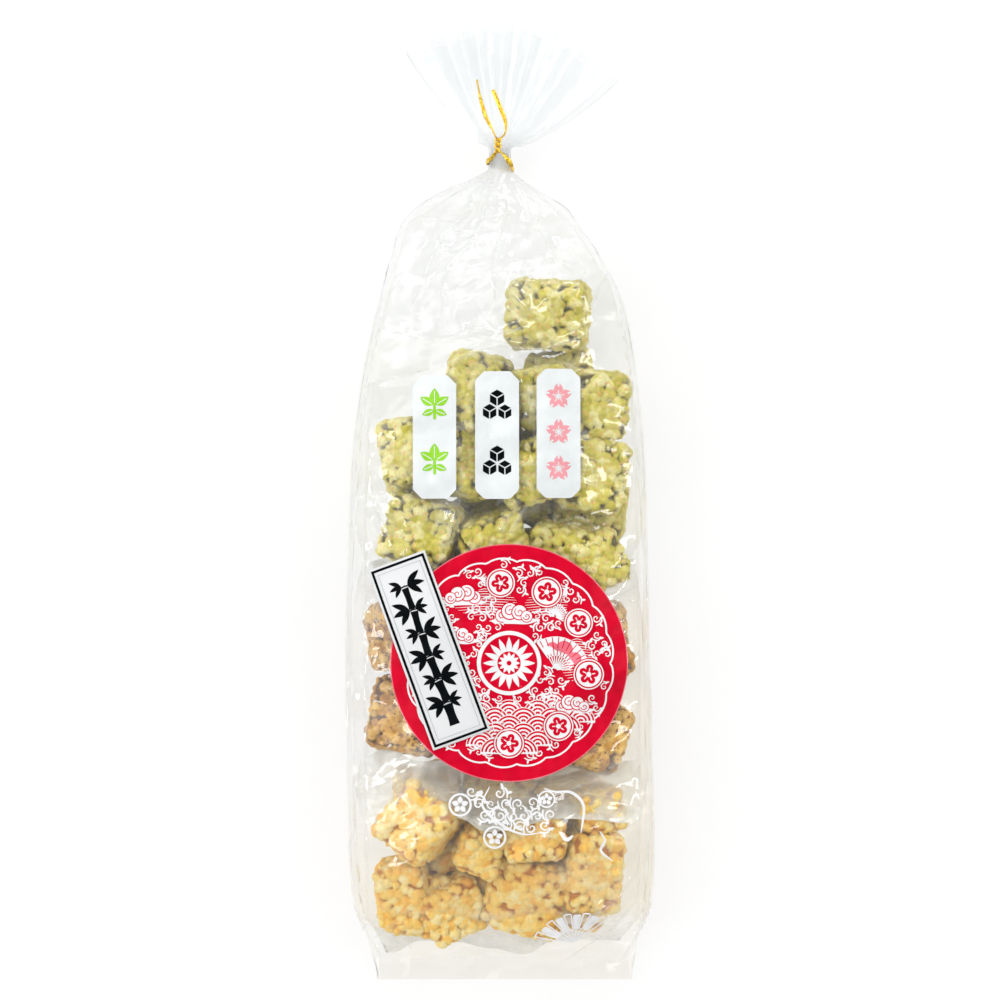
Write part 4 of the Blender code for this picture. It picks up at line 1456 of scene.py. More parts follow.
@dataclass
class Artwork:
    """Flat shapes on the film, in mm, each at one of several levels above it."""

    points: list[Array] = field(default_factory=list)
    faces: list[Array] = field(default_factory=list)
    levels: list[Array] = field(default_factory=list)
    slots: list[Array] = field(default_factory=list)
    count: int = 0

    def keep(self, points: Array, faces: Array, level: float, slot: int) -> None:
        """Adds flat points and the triangles between them."""
        a, b, c = (points[faces[:, i]] for i in range(3))
        cross = (b - a)[:, 0] * (c - a)[:, 1] - (b - a)[:, 1] * (c - a)[:, 0]
        faces = np.where((cross < 0)[:, None], faces[:, ::-1], faces)
        self.points.append(points)
        self.faces.append(faces + self.count)
        self.levels.append(np.full(len(points), level))
        self.slots.append(np.full(len(faces), slot))
        self.count += len(points)

    def stroke(self, line: Array, width: float, level: float, slot: int, taper: float = 0.0) -> None:
        """Adds a line of a given width.

        Args:
            line: its points, (n, 2).
            width: full width in mm.
            level: height above the film in mm.
            slot: ink slot.
            taper: share of the width that is lost at both ends.
        """
        line = even_steps(line, 0.9)
        ahead = unit(np.gradient(line, axis=0), 1e-9)
        across = np.stack((-ahead[:, 1], ahead[:, 0]), axis=1)
        t = np.linspace(0.0, 1.0, len(line))
        half = width / 2 * (1.0 - taper * np.abs(2 * t - 1) ** 2)[:, None]
        points = np.stack((line - across * half, line + across * half), axis=1).reshape(-1, 2)
        self.keep(points, as_triangles(grid_quads(len(line), 2)), level, slot)

    def fill(self, outline: Array, level: float, slot: int, hub: Array | None = None) -> None:
        """Adds a filled closed outline that can be seen whole from its hub.

        Args:
            outline: its points in order, (n, 2), the last not the first again.
            level: height above the film in mm.
            slot: ink slot.
            hub: the point that it is filled from, its middle if left out.
        """
        middle = outline.mean(0) if hub is None else hub
        rings = max(1, int(math.ceil(np.linalg.norm(outline - middle, axis=1).max() / 1.2)))
        share = (np.arange(rings) + 1.0) / rings
        ring_points = middle + share[:, None, None] * (outline - middle)
        points = np.vstack((middle[None], ring_points.reshape(-1, 2)))
        n = len(outline)
        rim = np.arange(n) + 1
        faces = [np.stack((np.zeros(n, int), rim, np.roll(rim, -1)), axis=1)]
        if rings > 1:
            faces.append(as_triangles(grid_quads(rings, n, wrap=True)) + 1)
        self.keep(points, np.vstack(faces), level, slot)

    def build(self, name: str, front: FrontFilm, inks: Sequence[Material], slot: str = BAG_SLOT) -> None:
        """Lays all the shapes on the film and makes one piece of them."""
        flat = np.vstack(self.points)
        height = front.height(flat[:, 0], flat[:, 1]) + np.concatenate(self.levels)
        surface = (np.column_stack((flat, height)), np.vstack(self.faces))
        make_piece(name, surface, inks, slot, slots=np.concatenate(self.slots))


def ray(start: float, end: float) -> Array:
    """A straight line along +X between two distances from the origin."""
    return np.array(((start, 0.0), (end, 0.0)))


def turned_spot(x: float, y: float, angle: float) -> Array:
    """One flat point turned anticlockwise about the origin."""
    return turned(np.array(((x, y),)), angle)[0]


def circle(radius: float, count: int = 48, start: float = 0.0, sweep: float = TAU) -> Array:
    """Points on a circle or, with a smaller sweep, on an arc with both of its ends."""
    closed = sweep >= TAU - 1e-9
    angle = start + np.linspace(0.0, sweep, count, endpoint=not closed)
    return polar(radius, angle)


def dome(radius: float, count: int, drop: float) -> Array:
    """Outline of an upper half disc that goes on straight down by the drop."""
    return np.vstack((circle(radius, count, 0.0, math.pi), ((-radius, -drop), (radius, -drop))))


def closed_line(outline: Array) -> Array:
    """An outline with its first point repeated at its end."""
    return np.vstack((outline, outline[:1]))


def blossom_outline(petals: int, depth: float, count: int = 60) -> Array:
    """Outline of a blossom of radius 1: r = 1 - depth * (1 - |cos(petals * angle / 2)|^0.7)."""
    angle = np.linspace(0.0, TAU, count, endpoint=False)
    radius = 1.0 - depth * (1.0 - np.abs(np.cos(petals * angle / 2)) ** 0.7)
    return polar(radius, angle)


def leaf_outline(length: float, width: float, bend: float = 0.0, count: int = 26) -> Array:
    """A leaf along +X from the origin: half width = width / 2 * sin(pi t)^0.8, its middle line bent aside."""
    t = np.linspace(0.0, 1.0, count // 2)
    half = width / 2 * np.sin(math.pi * t) ** 0.8 * (1.0 - 0.35 * t)
    middle = bend * np.sin(math.pi * t)
    upper = np.stack((length * t, middle + half), axis=1)
    lower = np.stack((length * t, middle - half), axis=1)[::-1]
    return np.vstack((upper, lower[1:-1]))


def spiral(radius: float, turns: float, start: float = 0.0, count: int = 40) -> Array:
    """A spiral that winds in from its radius: r = radius * (1 - 0.85 t)."""
    t = np.linspace(0.0, 1.0, count)
    return polar(radius * (1.0 - 0.85 * t), start + TAU * turns * t)


class Ink(Enum):
    """Ink slots of the roundel and the white line art."""

    RED = 0
    WHITE = 1
    PINK = 2


@dataclass
class Scrollwork:
    """Curling tendrils with leaves that fill the free room between other motifs."""

    art: Artwork
    origin: Pair
    ink: int
    level: float
    taken: list[Triple] = field(default_factory=list)

    def curl(self, x: float, y: float, size: float, turn: float, flip: float) -> None:
        """One tendril: a spiral, a stem that leaves it, and two leaves."""
        at = np.array((x, y)) + self.origin
        line = spiral(size, 1.3, math.pi)[::-1]
        stem = smooth_line(((-1.0, 0.0), (-1.1, -0.7), (-0.5, -1.35), (0.6, -1.5)), 20) * size
        for part, width in ((line, 0.30), (stem, 0.36)):
            self.art.stroke(turned(part * (flip, 1.0), turn) + at, width * size, self.level, self.ink, 0.5)
        for dx, dy, angle in ((-1.05, -0.45, 2.5), (-0.35, -1.35, -2.0)):
            leaf = turned(leaf_outline(1.0 * size, 0.6 * size, count=14), angle) + (dx * size, dy * size)
            self.art.fill(turned(leaf * (flip, 1.0), turn) + at, self.level, self.ink)

    def fill(self, room: Callable[[Array, Array], Array], pitch: float, seed: int) -> None:
        """Sets tendrils on a staggered grid wherever there is room and nothing else stands.

        Args:
            room: tells for points x, y about the origin where tendrils may stand.
            pitch: distance between two tendrils.
            seed: seed of their sizes and turns.
        """
        rng = np.random.default_rng(seed)
        i, j = (g.ravel() for g in np.meshgrid(np.arange(-14, 15), np.arange(-16, 17)))
        x = (i + 0.5 * (j % 2)) * pitch + rng.uniform(-0.12, 0.12, i.shape) * pitch
        y = j * pitch * 0.87 + rng.uniform(-0.12, 0.12, i.shape) * pitch
        free = room(x, y)
        for a, b, r in self.taken:
            free &= np.hypot(x - a, y - b) > r + pitch * 0.36
        for a, b in zip(x[free], y[free]):
            size = pitch * rng.uniform(0.38, 0.46)
            self.curl(a, b, size, rng.uniform(0, TAU), rng.choice((-1.0, 1.0)))
            self.taken.append((a, b, size * 1.2))


@dataclass
class Roundel:
    """The red disc on the front with its white ornament of blossoms, waves, clouds and fans."""

    middle: Pair = (3.4, -61.05)
    radius: float = 44.55
    field_radius: float = 39.4
    medallion: float = 10.6
    blossom_ring: float = 30.2
    art: Artwork = field(default_factory=Artwork)
    taken: list[Triple] = field(default_factory=list)

    def stroke(
        self, line: Array, width: float, level: float = 0.22, ink: Ink = Ink.WHITE, taper: float = 0.0
    ) -> None:
        """Adds a line, given about the disc's middle."""
        self.art.stroke(line + self.middle, width, level, ink.value, taper)

    def patch(self, outline: Array, ink: Ink, level: float, hub: Sequence[float] | None = None) -> None:
        """Adds a filled shape and the hub that it is filled from, both given about the disc's middle."""
        hub = None if hub is None else np.add(hub, self.middle)
        self.art.fill(outline + self.middle, level, ink.value, hub)

    def hatching(self, x: float, y: float, wide: float, high: float) -> None:
        """An oval of fine level lines, which reads as a lighter red from afar."""
        for dy in np.arange(-high + 0.4, high, 0.95):
            half = wide * math.sqrt(1.0 - (dy / high) ** 2)
            bend = smooth_line(((x - half, y + dy), (x, y + dy + 0.5), (x + half, y + dy)), 24)
            self.stroke(bend, 0.26, 0.16, taper=0.6)

    def waves(self) -> None:
        """Rows of overlapping waves over the lower part of the disc: white scales with red arcs in them."""
        radius, rise = 5.4, 2.9
        for row in range(8, 0, -1):
            y = -36.5 + row * rise
            shift = radius if row % 2 else 0.0
            level = 0.15 + 0.02 * (8 - row)
            for i in range(-4, 5):
                x = i * 2 * radius + shift
                away = math.hypot(x, y + 3.0)
                if away > 33.6 or away < 15.5 or y > -12.5 - 0.16 * abs(x):
                    continue
                self.patch(dome(radius, 26, 0.6) + (x, y), Ink.WHITE, level, (x, y))
                for share, width in ((0.88, 0.7), (0.62, 0.8), (0.37, 0.7), (0.12, 0.8)):
                    arc = circle(radius * share, 20, 0.05, math.pi - 0.1) + (x, y)
                    self.stroke(arc, width, level + 0.012, Ink.RED)

    def cloud(self, x: float, y: float, size: float, flip: float) -> None:
        """A bank of cloud: white lobes, each with a red curl in it, over a tapering white tail."""
        lobes = ((-1.5, -0.25, 0.75), (-0.55, 0.3, 0.95), (0.6, 0.15, 0.85), (1.5, -0.35, 0.65))
        tail = smooth_line(((-3.0, -0.9), (-1.6, -0.85), (0.0, -0.75), (1.6, -0.9), (3.1, -0.75)), 36)
        self.stroke(tail * (flip * size, size) + (x, y), size, taper=0.95)
        for k, (dx, dy, r) in enumerate(lobes):
            at = (x + dx * size * flip, y + dy * size)
            self.patch(circle(r * size * 1.16, 26) + at, Ink.RED, 0.23 + 0.04 * k)
            self.patch(circle(r * size, 26) + at, Ink.WHITE, 0.25 + 0.04 * k)
            curl = spiral(r * size * 0.72, 1.3, 0.3 + k) * (flip, 1.0) + at
            self.stroke(curl, 0.42, 0.27 + 0.04 * k, Ink.RED, 0.3)
        self.taken.append((x, y, 2.1 * size))

    def blossom(self, x: float, y: float, size: float, turn: float) -> None:
        """A round white badge with a red plum blossom in it."""
        at = np.array((x, y))
        self.patch(circle(size * 1.3, 40) + at, Ink.RED, 0.37)
        self.patch(circle(size, 40) + at, Ink.WHITE, 0.41)
        self.patch(turned(blossom_outline(5, 0.42), turn) * size * 0.8 + at, Ink.RED, 0.45)
        self.patch(circle(size * 0.2, 16) + at, Ink.WHITE, 0.49)
        for k in range(5):
            petal = turned(ray(0.24, 0.52) * size, turn + TAU * k / 5) + at
            self.stroke(petal, size * 0.08, 0.49)
        self.stroke(closed_line(circle(size * 1.17, 44)) + at, 0.45, 0.41)
        self.taken.append((x, y, size * 1.2))

    def hand_fan(self, x: float, y: float, size: float, turn: float) -> None:
        """An open folding fan: a white leaf with red folds and pink hills, and white ribs below it."""
        at = np.array((x, y))
        low, high, half = 0.42, 1.0, math.radians(64)
        outer = circle(high, 30, math.pi / 2 - half, 2 * half)
        inner = circle(low, 18, math.pi / 2 - half, 2 * half)[::-1]
        leaf = turned(np.vstack((outer, inner)) * size, turn) + at
        self.patch(leaf, Ink.WHITE, 0.24, turned_spot(0.0, 0.70 * size, turn) + at)
        for k, r in ((-0.55, 0.2), (0.1, 0.26), (0.65, 0.18)):
            hill = turned(turned(dome(r, 16, 0.1), k * 0.8) * size, turn)
            spot = turned_spot(-math.sin(k) * 0.66 * size, math.cos(k) * 0.66 * size, turn)
            self.patch(hill + spot + at, Ink.PINK, 0.27)
        for k in np.linspace(-half * 0.9, half * 0.9, 11):
            way = math.pi / 2 + k + turn
            self.stroke(turned(ray(low * 1.02, high * 0.98) * size, way) + at, 0.34, 0.30, Ink.RED)
            self.stroke(turned(ray(0.03, low) * size, way) + at, 0.4)
        middle = turned_spot(0.0, 0.62 * size, turn) + at
        self.taken.append((*middle, 0.66 * size))

    def pine(self, x: float, y: float, size: float, turn: float) -> None:
        """A pine tuft: needles that spread over a half circle from a short twig."""
        at = np.array((x, y))
        for k in np.linspace(-1.35, 1.35, 15):
            self.stroke(turned(ray(0.12, 1.0) * size, turn + k) + at, 0.45, taper=0.5)
        self.stroke(turned(circle(size * 0.86, 20, -1.35, 2.7), turn) + at, 0.4, taper=0.2)
        middle = turned_spot(0.45 * size, 0.0, turn) + at
        self.taken.append((*middle, 0.6 * size))

    def centre(self) -> None:
        """The medallion: a ringed chrysanthemum of sixteen petals, a smaller one laid over it."""
        self.patch(circle(self.medallion + 1.5, 80), Ink.WHITE, 0.34)
        self.patch(circle(self.medallion, 72), Ink.RED, 0.38)
        for k in range(16):
            petal = leaf_outline(7.2, 2.5) + (2.6, 0.0)
            self.patch(turned(petal, TAU * k / 16), Ink.WHITE, 0.42)
        self.patch(circle(4.4, 30), Ink.RED, 0.46)
        for k in range(12):
            petal = leaf_outline(3.4, 1.6) + (0.7, 0.0)
            self.patch(turned(petal, TAU * k / 12), Ink.WHITE, 0.49)
        self.patch(circle(0.9, 16), Ink.RED, 0.52)
        self.taken.append((0.0, 0.0, self.medallion + 1.2))

    def build(self, front: FrontFilm, inks: Sequence[Material]) -> None:
        """Draws the disc and its ornament and lays them on the film."""
        self.patch(circle(self.radius, 250), Ink.RED, 0.10)
        self.stroke(closed_line(circle(self.radius, 150)), 0.35, 0.14, Ink.PINK)
        angle = np.linspace(0.0, TAU, 240, endpoint=False)
        scallop = self.field_radius - 1.5 + 1.5 * np.abs(np.sin(angle * 10.5)) ** 0.6
        self.stroke(closed_line(polar(scallop, angle)), 0.65)
        for x, y, wide, high in ((-9.0, 22.5, 12.0, 5.0), (25.5, 1.0, 6.5, 8.0), (14.0, 22.0, 8.0, 4.5)):
            self.hatching(x, y, wide, high)
        self.waves()
        self.centre()
        badges = ((-8, 4.7), (30, 4.4), (62, 4.7), (96, 4.4), (-52, 4.6), (-90, 4.6), (-128, 4.4), (160, 4.6))
        for degrees, size in badges:
            a = math.radians(degrees)
            self.blossom(self.blossom_ring * math.cos(a), self.blossom_ring * math.sin(a), size, 0.3 + a)
        for x, y, size, flip in (
            (2.0, 18.6, 3.1, 1.0),
            (-17.5, 25.5, 3.0, -1.0),
            (24.0, -15.5, 2.8, 1.0),
            (-25.0, -9.5, 2.8, -1.0),
            (-19.0, 10.5, 2.6, 1.0),
        ):
            self.cloud(x, y, size, flip)
        self.hand_fan(17.5, -2.5, 12.5, -0.5)
        for x, y, size, turn in ((-6.0, 27.5, 6.0, 1.3), (17.0, 17.5, 5.4, 0.9), (-30.5, 1.0, 5.0, 2.9)):
            self.pine(x, y, size, turn)
        scrolls = Scrollwork(self.art, self.middle, Ink.WHITE.value, 0.21, self.taken)

        def room(x: Array, y: Array) -> Array:
            """The ring between the medallion and the border, above the waves."""
            away = np.hypot(x, y)
            on_waves = (y < -13.0 - 0.1 * np.abs(x)) & (away < 33.5)
            return (away > 12.5) & (away < 37.0) & ~on_waves

        scrolls.fill(room, 3.9, 21)
        scrolls.fill(room, 3.4, 22)
        self.art.build("red_roundel_print", front, inks)


@dataclass
class WhiteOrnament:
    """White ink lines on the clear film below the disc: scrolls, badges and a folding fan."""

    level: float = 0.14
    art: Artwork = field(default_factory=Artwork)

    def stroke(self, line: Array, width: float, taper: float = 0.0) -> None:
        """Adds a white line."""
        self.art.stroke(line, width, self.level, 0, taper)

    def line(self, points: Sequence[Pair], width: float, taper: float = 0.7) -> None:
        """Adds a white brush line through the points."""
        self.stroke(smooth_line(points, 12 * len(points)), width, taper)

    def badge(self, x: float, y: float, size: float) -> None:
        """A round badge with a blossom left clear in it: a rim, five petals and a dot."""
        at = np.array((x, y))
        self.stroke(closed_line(circle(size, 40)) + at, size * 0.2)
        for k in range(5):
            petal = turned(leaf_outline(size * 0.66, size * 0.6) + (size * 0.14, 0.0), TAU * k / 5 + 0.3)
            self.art.fill(petal + at, self.level, 0)

    def fan(self, x: float, y: float, size: float, turn: float) -> None:
        """An open folding fan seen slantwise, its leaf drawn in separate white folds."""
        slant = (1.0, 0.72)
        for k in range(9):
            a, b = (math.radians(32 + 13 * v) for v in (k, k + 0.74))
            low, high = 0.46, 1.0 - 0.05 * (k % 2)
            corners = polar(np.array((low, high, high, low)), np.array((a, a, b, b))) * size * slant
            fold = turned(corners, turn) + (x, y)
            self.stroke(closed_line(fold), 0.5)
            if k % 2:
                self.art.fill(fold, self.level, 0)
            rib = turned(ray(0.04, 0.42) * size, (a + b) / 2) * slant
            self.stroke(turned(rib, turn) + (x, y), 0.5)

    def build(self, front: FrontFilm, ink: Material) -> None:
        """Draws the ornament and lays it on the film."""
        badges = ((-15.0, -114.4, 4.0), (-2.0, -126.6, 4.0), (17.5, -112.3, 3.0))
        for x, y, size in badges:
            self.badge(x, y, size)
        taken = [(x - 2.0, y + 114.0, size * 1.1) for x, y, size in badges]
        scrolls = Scrollwork(self.art, (2.0, -114.0), 0, self.level, taken)

        def room(x: Array, y: Array) -> Array:
            """An oval that leans down to the right."""
            below_disc = np.hypot(x + 2.0 - 3.4, y - 114.0 + 61.05) > 48.8
            return below_disc & ((x / 20.0) ** 2 + ((y + 0.25 * x) / 11.0) ** 2 < 1.0)

        scrolls.fill(room, 5.0, 33)
        self.line(((16.5, -108.2), (21.0, -109.6), (27.0, -110.0), (31.5, -115.0), (30.5, -125.0)), 1.1)
        self.line(((-4.0, -107.6), (-6.5, -115.0), (1.5, -122.5), (9.0, -125.5), (15.0, -125.0)), 1.0)
        self.line(((22.5, -124.5), (25.0, -127.5), (27.5, -126.0)), 1.6)
        self.line(((37.5, -124.5), (39.5, -128.0), (38.0, -132.0), (42.5, -136.0)), 1.0)
        self.fan(28.5, -168.5, 17.0, math.radians(16))
        self.art.build("white_ink_print", front, [ink])


class Mark(Enum):
    """Motifs printed on the three flavour plates."""

    TEA_LEAVES = "tea leaves"
    SUGAR_LUMPS = "sugar lumps"
    BLOSSOM = "blossom"


@dataclass(frozen=True)
class FlavourPlate:
    """One white plate with cut corners on the front, with its coloured marks one below another."""

    middle: Pair
    size: Pair
    mark: Mark
    mark_heights: tuple[float, ...]
    mark_size: float
    corner: float = 3.4

    def outline(self) -> Array:
        """The plate's eight corners about its middle."""
        w, h, c = self.size[0] / 2, self.size[1] / 2, self.corner
        upper = np.array(((w, h - c), (w - c, h), (c - w, h), (-w, h - c)))
        return np.vstack((upper, -upper))

    def tea_leaves(self, art: Artwork, at: Array, size: float) -> None:
        """Three leaves on a short stalk over two small ones, each with a clear vein."""
        for length, width, angle, base in (
            (1.15, 0.86, 1.57, (0.0, 0.0)),
            (1.08, 0.74, 0.55, (0.1, -0.05)),
            (1.08, 0.74, 2.6, (-0.1, -0.05)),
            (0.9, 0.6, -0.38, (0.05, -0.45)),
            (0.9, 0.6, 3.52, (-0.05, -0.45)),
        ):
            leaf = turned(leaf_outline(length * size, width * size), angle) + np.array(base) * size + at
            art.fill(leaf, 0.2, 1)
            vein = turned(ray(0.1, length * 0.82) * size, angle)
            art.stroke(vein + np.array(base) * size + at, size * 0.06, 0.26, 0)
        art.stroke(np.array(((0.0, 0.1), (0.02, -1.1))) * size + at, size * 0.2, 0.2, 1)

    def sugar_lumps(self, art: Artwork, at: Array, size: float) -> None:
        """Three rough cubes in a pile, each drawn as its three faces with clear edges between them."""
        for x, y, s in ((-0.5, -0.5, 0.56), (0.52, -0.52, 0.54), (0.0, 0.42, 0.6)):
            for k in range(3):
                a = math.pi / 6 + k * TAU / 3
                rim = polar(1.0, np.array((a, a + math.pi / 3, a + 2 * math.pi / 3)))
                ends = np.vstack(((0.0, 0.0), rim))
                face = ends.mean(0) + (ends - ends.mean(0)) * 0.84
                art.fill(face * s * size + np.array((x, y)) * size + at, 0.2, 1)

    def blossom(self, art: Artwork, at: Array, size: float) -> None:
        """A blossom of five notched petals round a ring of stamens."""
        for k in range(5):
            a = math.pi / 2 + TAU * k / 5
            petal = leaf_outline(0.95 * size, 0.86 * size, count=30)
            art.fill(turned(petal + (0.16 * size, 0.0), a) + at, 0.2, 1)
            art.stroke(turned(ray(0.78, 1.15) * size, a) + at, size * 0.16, 0.26, 0)
            art.stroke(turned(ray(0.2, 0.5) * size, a) + at, size * 0.08, 0.26, 0)
        art.fill(circle(0.13 * size, 14) + at, 0.26, 0)

    def build(self, name: str, front: FrontFilm, inks: Sequence[Material]) -> None:
        """Draws the plate and its marks and lays them on the film."""
        art = Artwork()
        middle = np.array(self.middle)
        art.fill(even_steps(closed_line(self.outline()), 1.2)[:-1] + middle, 0.12, 0)
        draw = {
            Mark.TEA_LEAVES: self.tea_leaves,
            Mark.SUGAR_LUMPS: self.sugar_lumps,
            Mark.BLOSSOM: self.blossom,
        }[self.mark]
        for height in self.mark_heights:
            draw(art, np.array((middle[0], height)), self.mark_size)
        art.build(name, front, inks)


@dataclass
class PaperLabel:
    """The slanted paper label: a thin sheet with a black border, a grey line and brushed bamboo."""

    middle: Pair = (-26.7, -56.3)
    half: Pair = (11.5, 36.0)
    slant: float = math.radians(20.2)
    thickness: float = 0.12
    lift: float = 0.74
    border_inset: float = 1.35

    def on_bag(self, flat: Array) -> Array:
        """Points of the label's own plane turned and moved onto the bag's front."""
        return turned(flat, self.slant) + self.middle

    def sheet(self, front: FrontFilm) -> tuple[Array, Array]:
        """The paper's closed surface: upper and lower face on one grid, joined round the edge.

        Formula: height = film height + lift, and the lower face is one thickness below the upper.
        """
        columns, rows = 35, 103
        u, v = np.meshgrid(np.linspace(-1, 1, columns), np.linspace(-1, 1, rows))
        flat = np.stack((u.ravel() * self.half[0], v.ravel() * self.half[1]), axis=1)
        place = self.on_bag(flat)
        upper = front.height(place[:, 0], place[:, 1]) + self.lift
        points = np.vstack([np.column_stack((place, z)) for z in (upper, upper - self.thickness)])
        top = grid_quads(rows, columns)
        under = top[:, ::-1] + rows * columns
        index = np.arange(rows * columns).reshape(rows, columns)
        rim = np.concatenate((index[0, :-1], index[:-1, -1], index[-1, :0:-1], index[:0:-1, 0]))
        after = np.roll(rim, -1)
        wall = np.stack((rim, rim + rows * columns, after + rows * columns, after), axis=1)
        return points, np.vstack((top, under, wall))

    def bamboo(self, art: Artwork, bottom: float, top: float, x: float, width: float) -> None:
        """A brushed stalk of bamboo: tapering joints with gaps, and leaves at every other joint."""
        joints = np.linspace(bottom, top, 7)
        for k, (low, high) in enumerate(zip(joints, joints[1:])):
            lean = 0.35 * math.sin(1.3 * k)
            line = ((x + lean, low + 0.5), (x + 0.3 * lean, (low + high) / 2), (x - lean, high - 0.5))
            art.stroke(self.on_bag(np.array(line)), width * (1.0 - 0.06 * k), 0.05, 0, -0.25)
            node = ((x - width * 0.72, high - 0.1), (x, high + 0.25), (x + width * 0.72, high - 0.1))
            art.stroke(self.on_bag(np.array(node)), 0.6, 0.05, 0, 0.3)
            way = 1.0 if k % 2 else -1.0
            for side, reach in ((way, 1.0), (-way, 0.72)):
                for angle, length in ((0.6, 7.0), (-0.1, 6.6), (-0.8, 6.4)):
                    leaf = leaf_outline(length * reach, 2.7 * reach, 0.25)
                    leaf = turned(leaf, angle) * (side, 1.0) + (x + side * width * 0.4, high + 0.4)
                    art.fill(self.on_bag(leaf), 0.05, 0)

    def build(self, front: FrontFilm, paper: Material, inks: Sequence[Material]) -> None:
        """Makes the paper and its print, which replace the label's solid."""
        make_piece("paper_label", self.sheet(front), [paper], "paper", "label")
        art = Artwork()
        for inset, width, slot in ((self.border_inset, 0.95, 0), (self.border_inset + 1.75, 0.22, 1)):
            w, h = self.half[0] - inset, self.half[1] - inset
            corners = np.array(((-w, -h), (w, -h), (w, h), (-w, h)))
            for a, b in zip(corners, np.roll(corners, -1, axis=0)):
                along = (b - a) / np.linalg.norm(b - a) * width / 2
                art.stroke(self.on_bag(np.array((a - along, b + along))), width, 0.10, slot)
        self.bamboo(art, -30.0, 25.5, -0.4, 3.2)
        art.levels = [level + self.lift for level in art.levels]
        art.build("paper_label_ink", front, inks, "paper")


@dataclass(frozen=True)
class TwistTie:
    """Gold foil strip with a wire in it, bent round the neck, twisted in front, with two free ends."""

    form: BagForm
    width: float = 2.1
    thickness: float = 0.16
    wire: float = 0.28
    ring_radius: float = 5.2
    ring_y: float = 128.7
    ring_tilt: float = -0.28
    front_rise: float = 2.0
    left_lead: tuple[Triple, ...] = ((-2.9, 131.7, 15.4), (-0.9, 134.0, 16.9))
    right_lead: tuple[Triple, ...] = ((3.4, 130.0, 15.4), (1.6, 132.2, 16.6), (-0.4, 134.2, 16.9))
    left_end: tuple[Triple, ...] = (
        (-1.0, 137.8, 17.4), (-3.4, 142.7, 18.6), (-5.7, 147.3, 19.6),
        (-7.6, 154.1, 20.8), (-8.8, 160.6, 21.4),
    )
    right_end: tuple[Triple, ...] = (
        (-0.8, 137.8, 17.4), (1.9, 140.4, 18.2), (2.1, 144.6, 19.2), (0.2, 149.8, 20.2), (-2.7, 156.8, 21.0)
    )

    def strip(self, path: Array, facing: Array, width: Array) -> tuple[Array, Array]:
        """A flat strip with a raised wire along its middle, carried along a path.

        Formula: at u from -1 to 1 across the strip, the upper side stands thickness / 2 plus
        wire * exp(-(u / 0.3)^2) above the middle, and the lower side is its mirror image.

        Args:
            path: the middle line, (n, 3).
            facing: the way the strip's upper side faces at each point, (n, 3).
            width: its full width at each point, (n,).

        Returns:
            Points and quads of the closed strip.
        """
        ahead = unit(np.gradient(path, axis=0))
        across = unit(np.cross(ahead, facing))
        up = np.cross(across, ahead)
        u = np.linspace(1.0, -1.0, 9)
        bead = self.thickness / 2 + self.wire * np.exp(-((u / 0.3) ** 2))
        u_loop, h_loop = np.concatenate((u, u[::-1])), np.concatenate((bead, -bead[::-1]))
        sideways = across[:, None] * (u_loop[None, :, None] * width[:, None, None] / 2)
        points = path[:, None] + sideways + up[:, None] * h_loop[None, :, None]
        n, m = len(path), len(u_loop)
        quads = grid_quads(n, m, wrap=True)
        k = np.arange(m // 2 - 1)
        lid = np.stack((k, k + 1, m - 2 - k, m - 1 - k), axis=1)
        return points.reshape(-1, 3), np.vstack((quads, lid[:, ::-1], lid + (n - 1) * m))

    def twisted(self, path: Array, start: float, turns: float) -> Array:
        """Directions square to a path that turn round it evenly, from a start angle."""
        ahead = unit(np.gradient(path, axis=0))
        side = unit(np.cross(ahead, np.array((0.0, 0.0, 1.0))), 1e-6)
        up = np.cross(side, ahead)
        angle = (start + TAU * turns * np.linspace(0.0, 1.0, len(path)))[:, None]
        return up * np.cos(angle) + side * np.sin(angle)

    def build(self, foil: Material) -> None:
        """Makes the tie, which replaces its solid."""
        turn = np.linspace(math.radians(144), math.radians(397), 90)
        front = np.clip(np.sin(turn), 0, 1)
        ring_y = self.ring_y + self.front_rise * front**2 + self.ring_tilt * self.ring_radius * np.cos(turn)
        ring_z = self.form.neck_z + self.ring_radius * np.sin(turn) + 1.2 * front**6
        ring = np.stack((self.ring_radius * np.cos(turn), ring_y, ring_z), axis=1)
        outward = np.stack((np.cos(turn), 0.35 * np.sin(3 * turn), np.sin(turn)), axis=1)
        parts = [self.strip(ring, outward, np.full(90, self.width))]
        knot_y = np.linspace(133.2, 138.6, 60)
        for start in (0.0, math.pi):
            angle = start + TAU * 1.25 * np.linspace(0, 1, 60)
            knot_z = 16.9 + 0.14 * (knot_y - 133.2) + 0.62 * np.sin(angle)
            helix = np.stack((-0.8 + 0.62 * np.cos(angle), knot_y, knot_z), axis=1)
            parts.append(self.strip(helix, self.twisted(helix, start, 2.2), np.full(60, 1.7)))
        ends = (
            ((tuple(ring[0]), *self.left_lead), 0.5, 0.1, (2.1, 1.6)),
            ((tuple(ring[-1]), *self.right_lead), -0.6, 0.35, (2.1, 1.8)),
            (self.left_end, 1.1, 0.62, (1.5, 1.5)),
            (self.right_end, -0.9, -0.45, (2.0, 1.5)),
        )
        for knots, start, turns, widths in ends:
            path = smooth_line(knots, 70)
            parts.append(self.strip(path, self.twisted(path, start, turns), np.linspace(*widths, 70)))
        make_piece("gold_twist_tie", joined(parts), [foil], "gold_foil", "twist_tie")


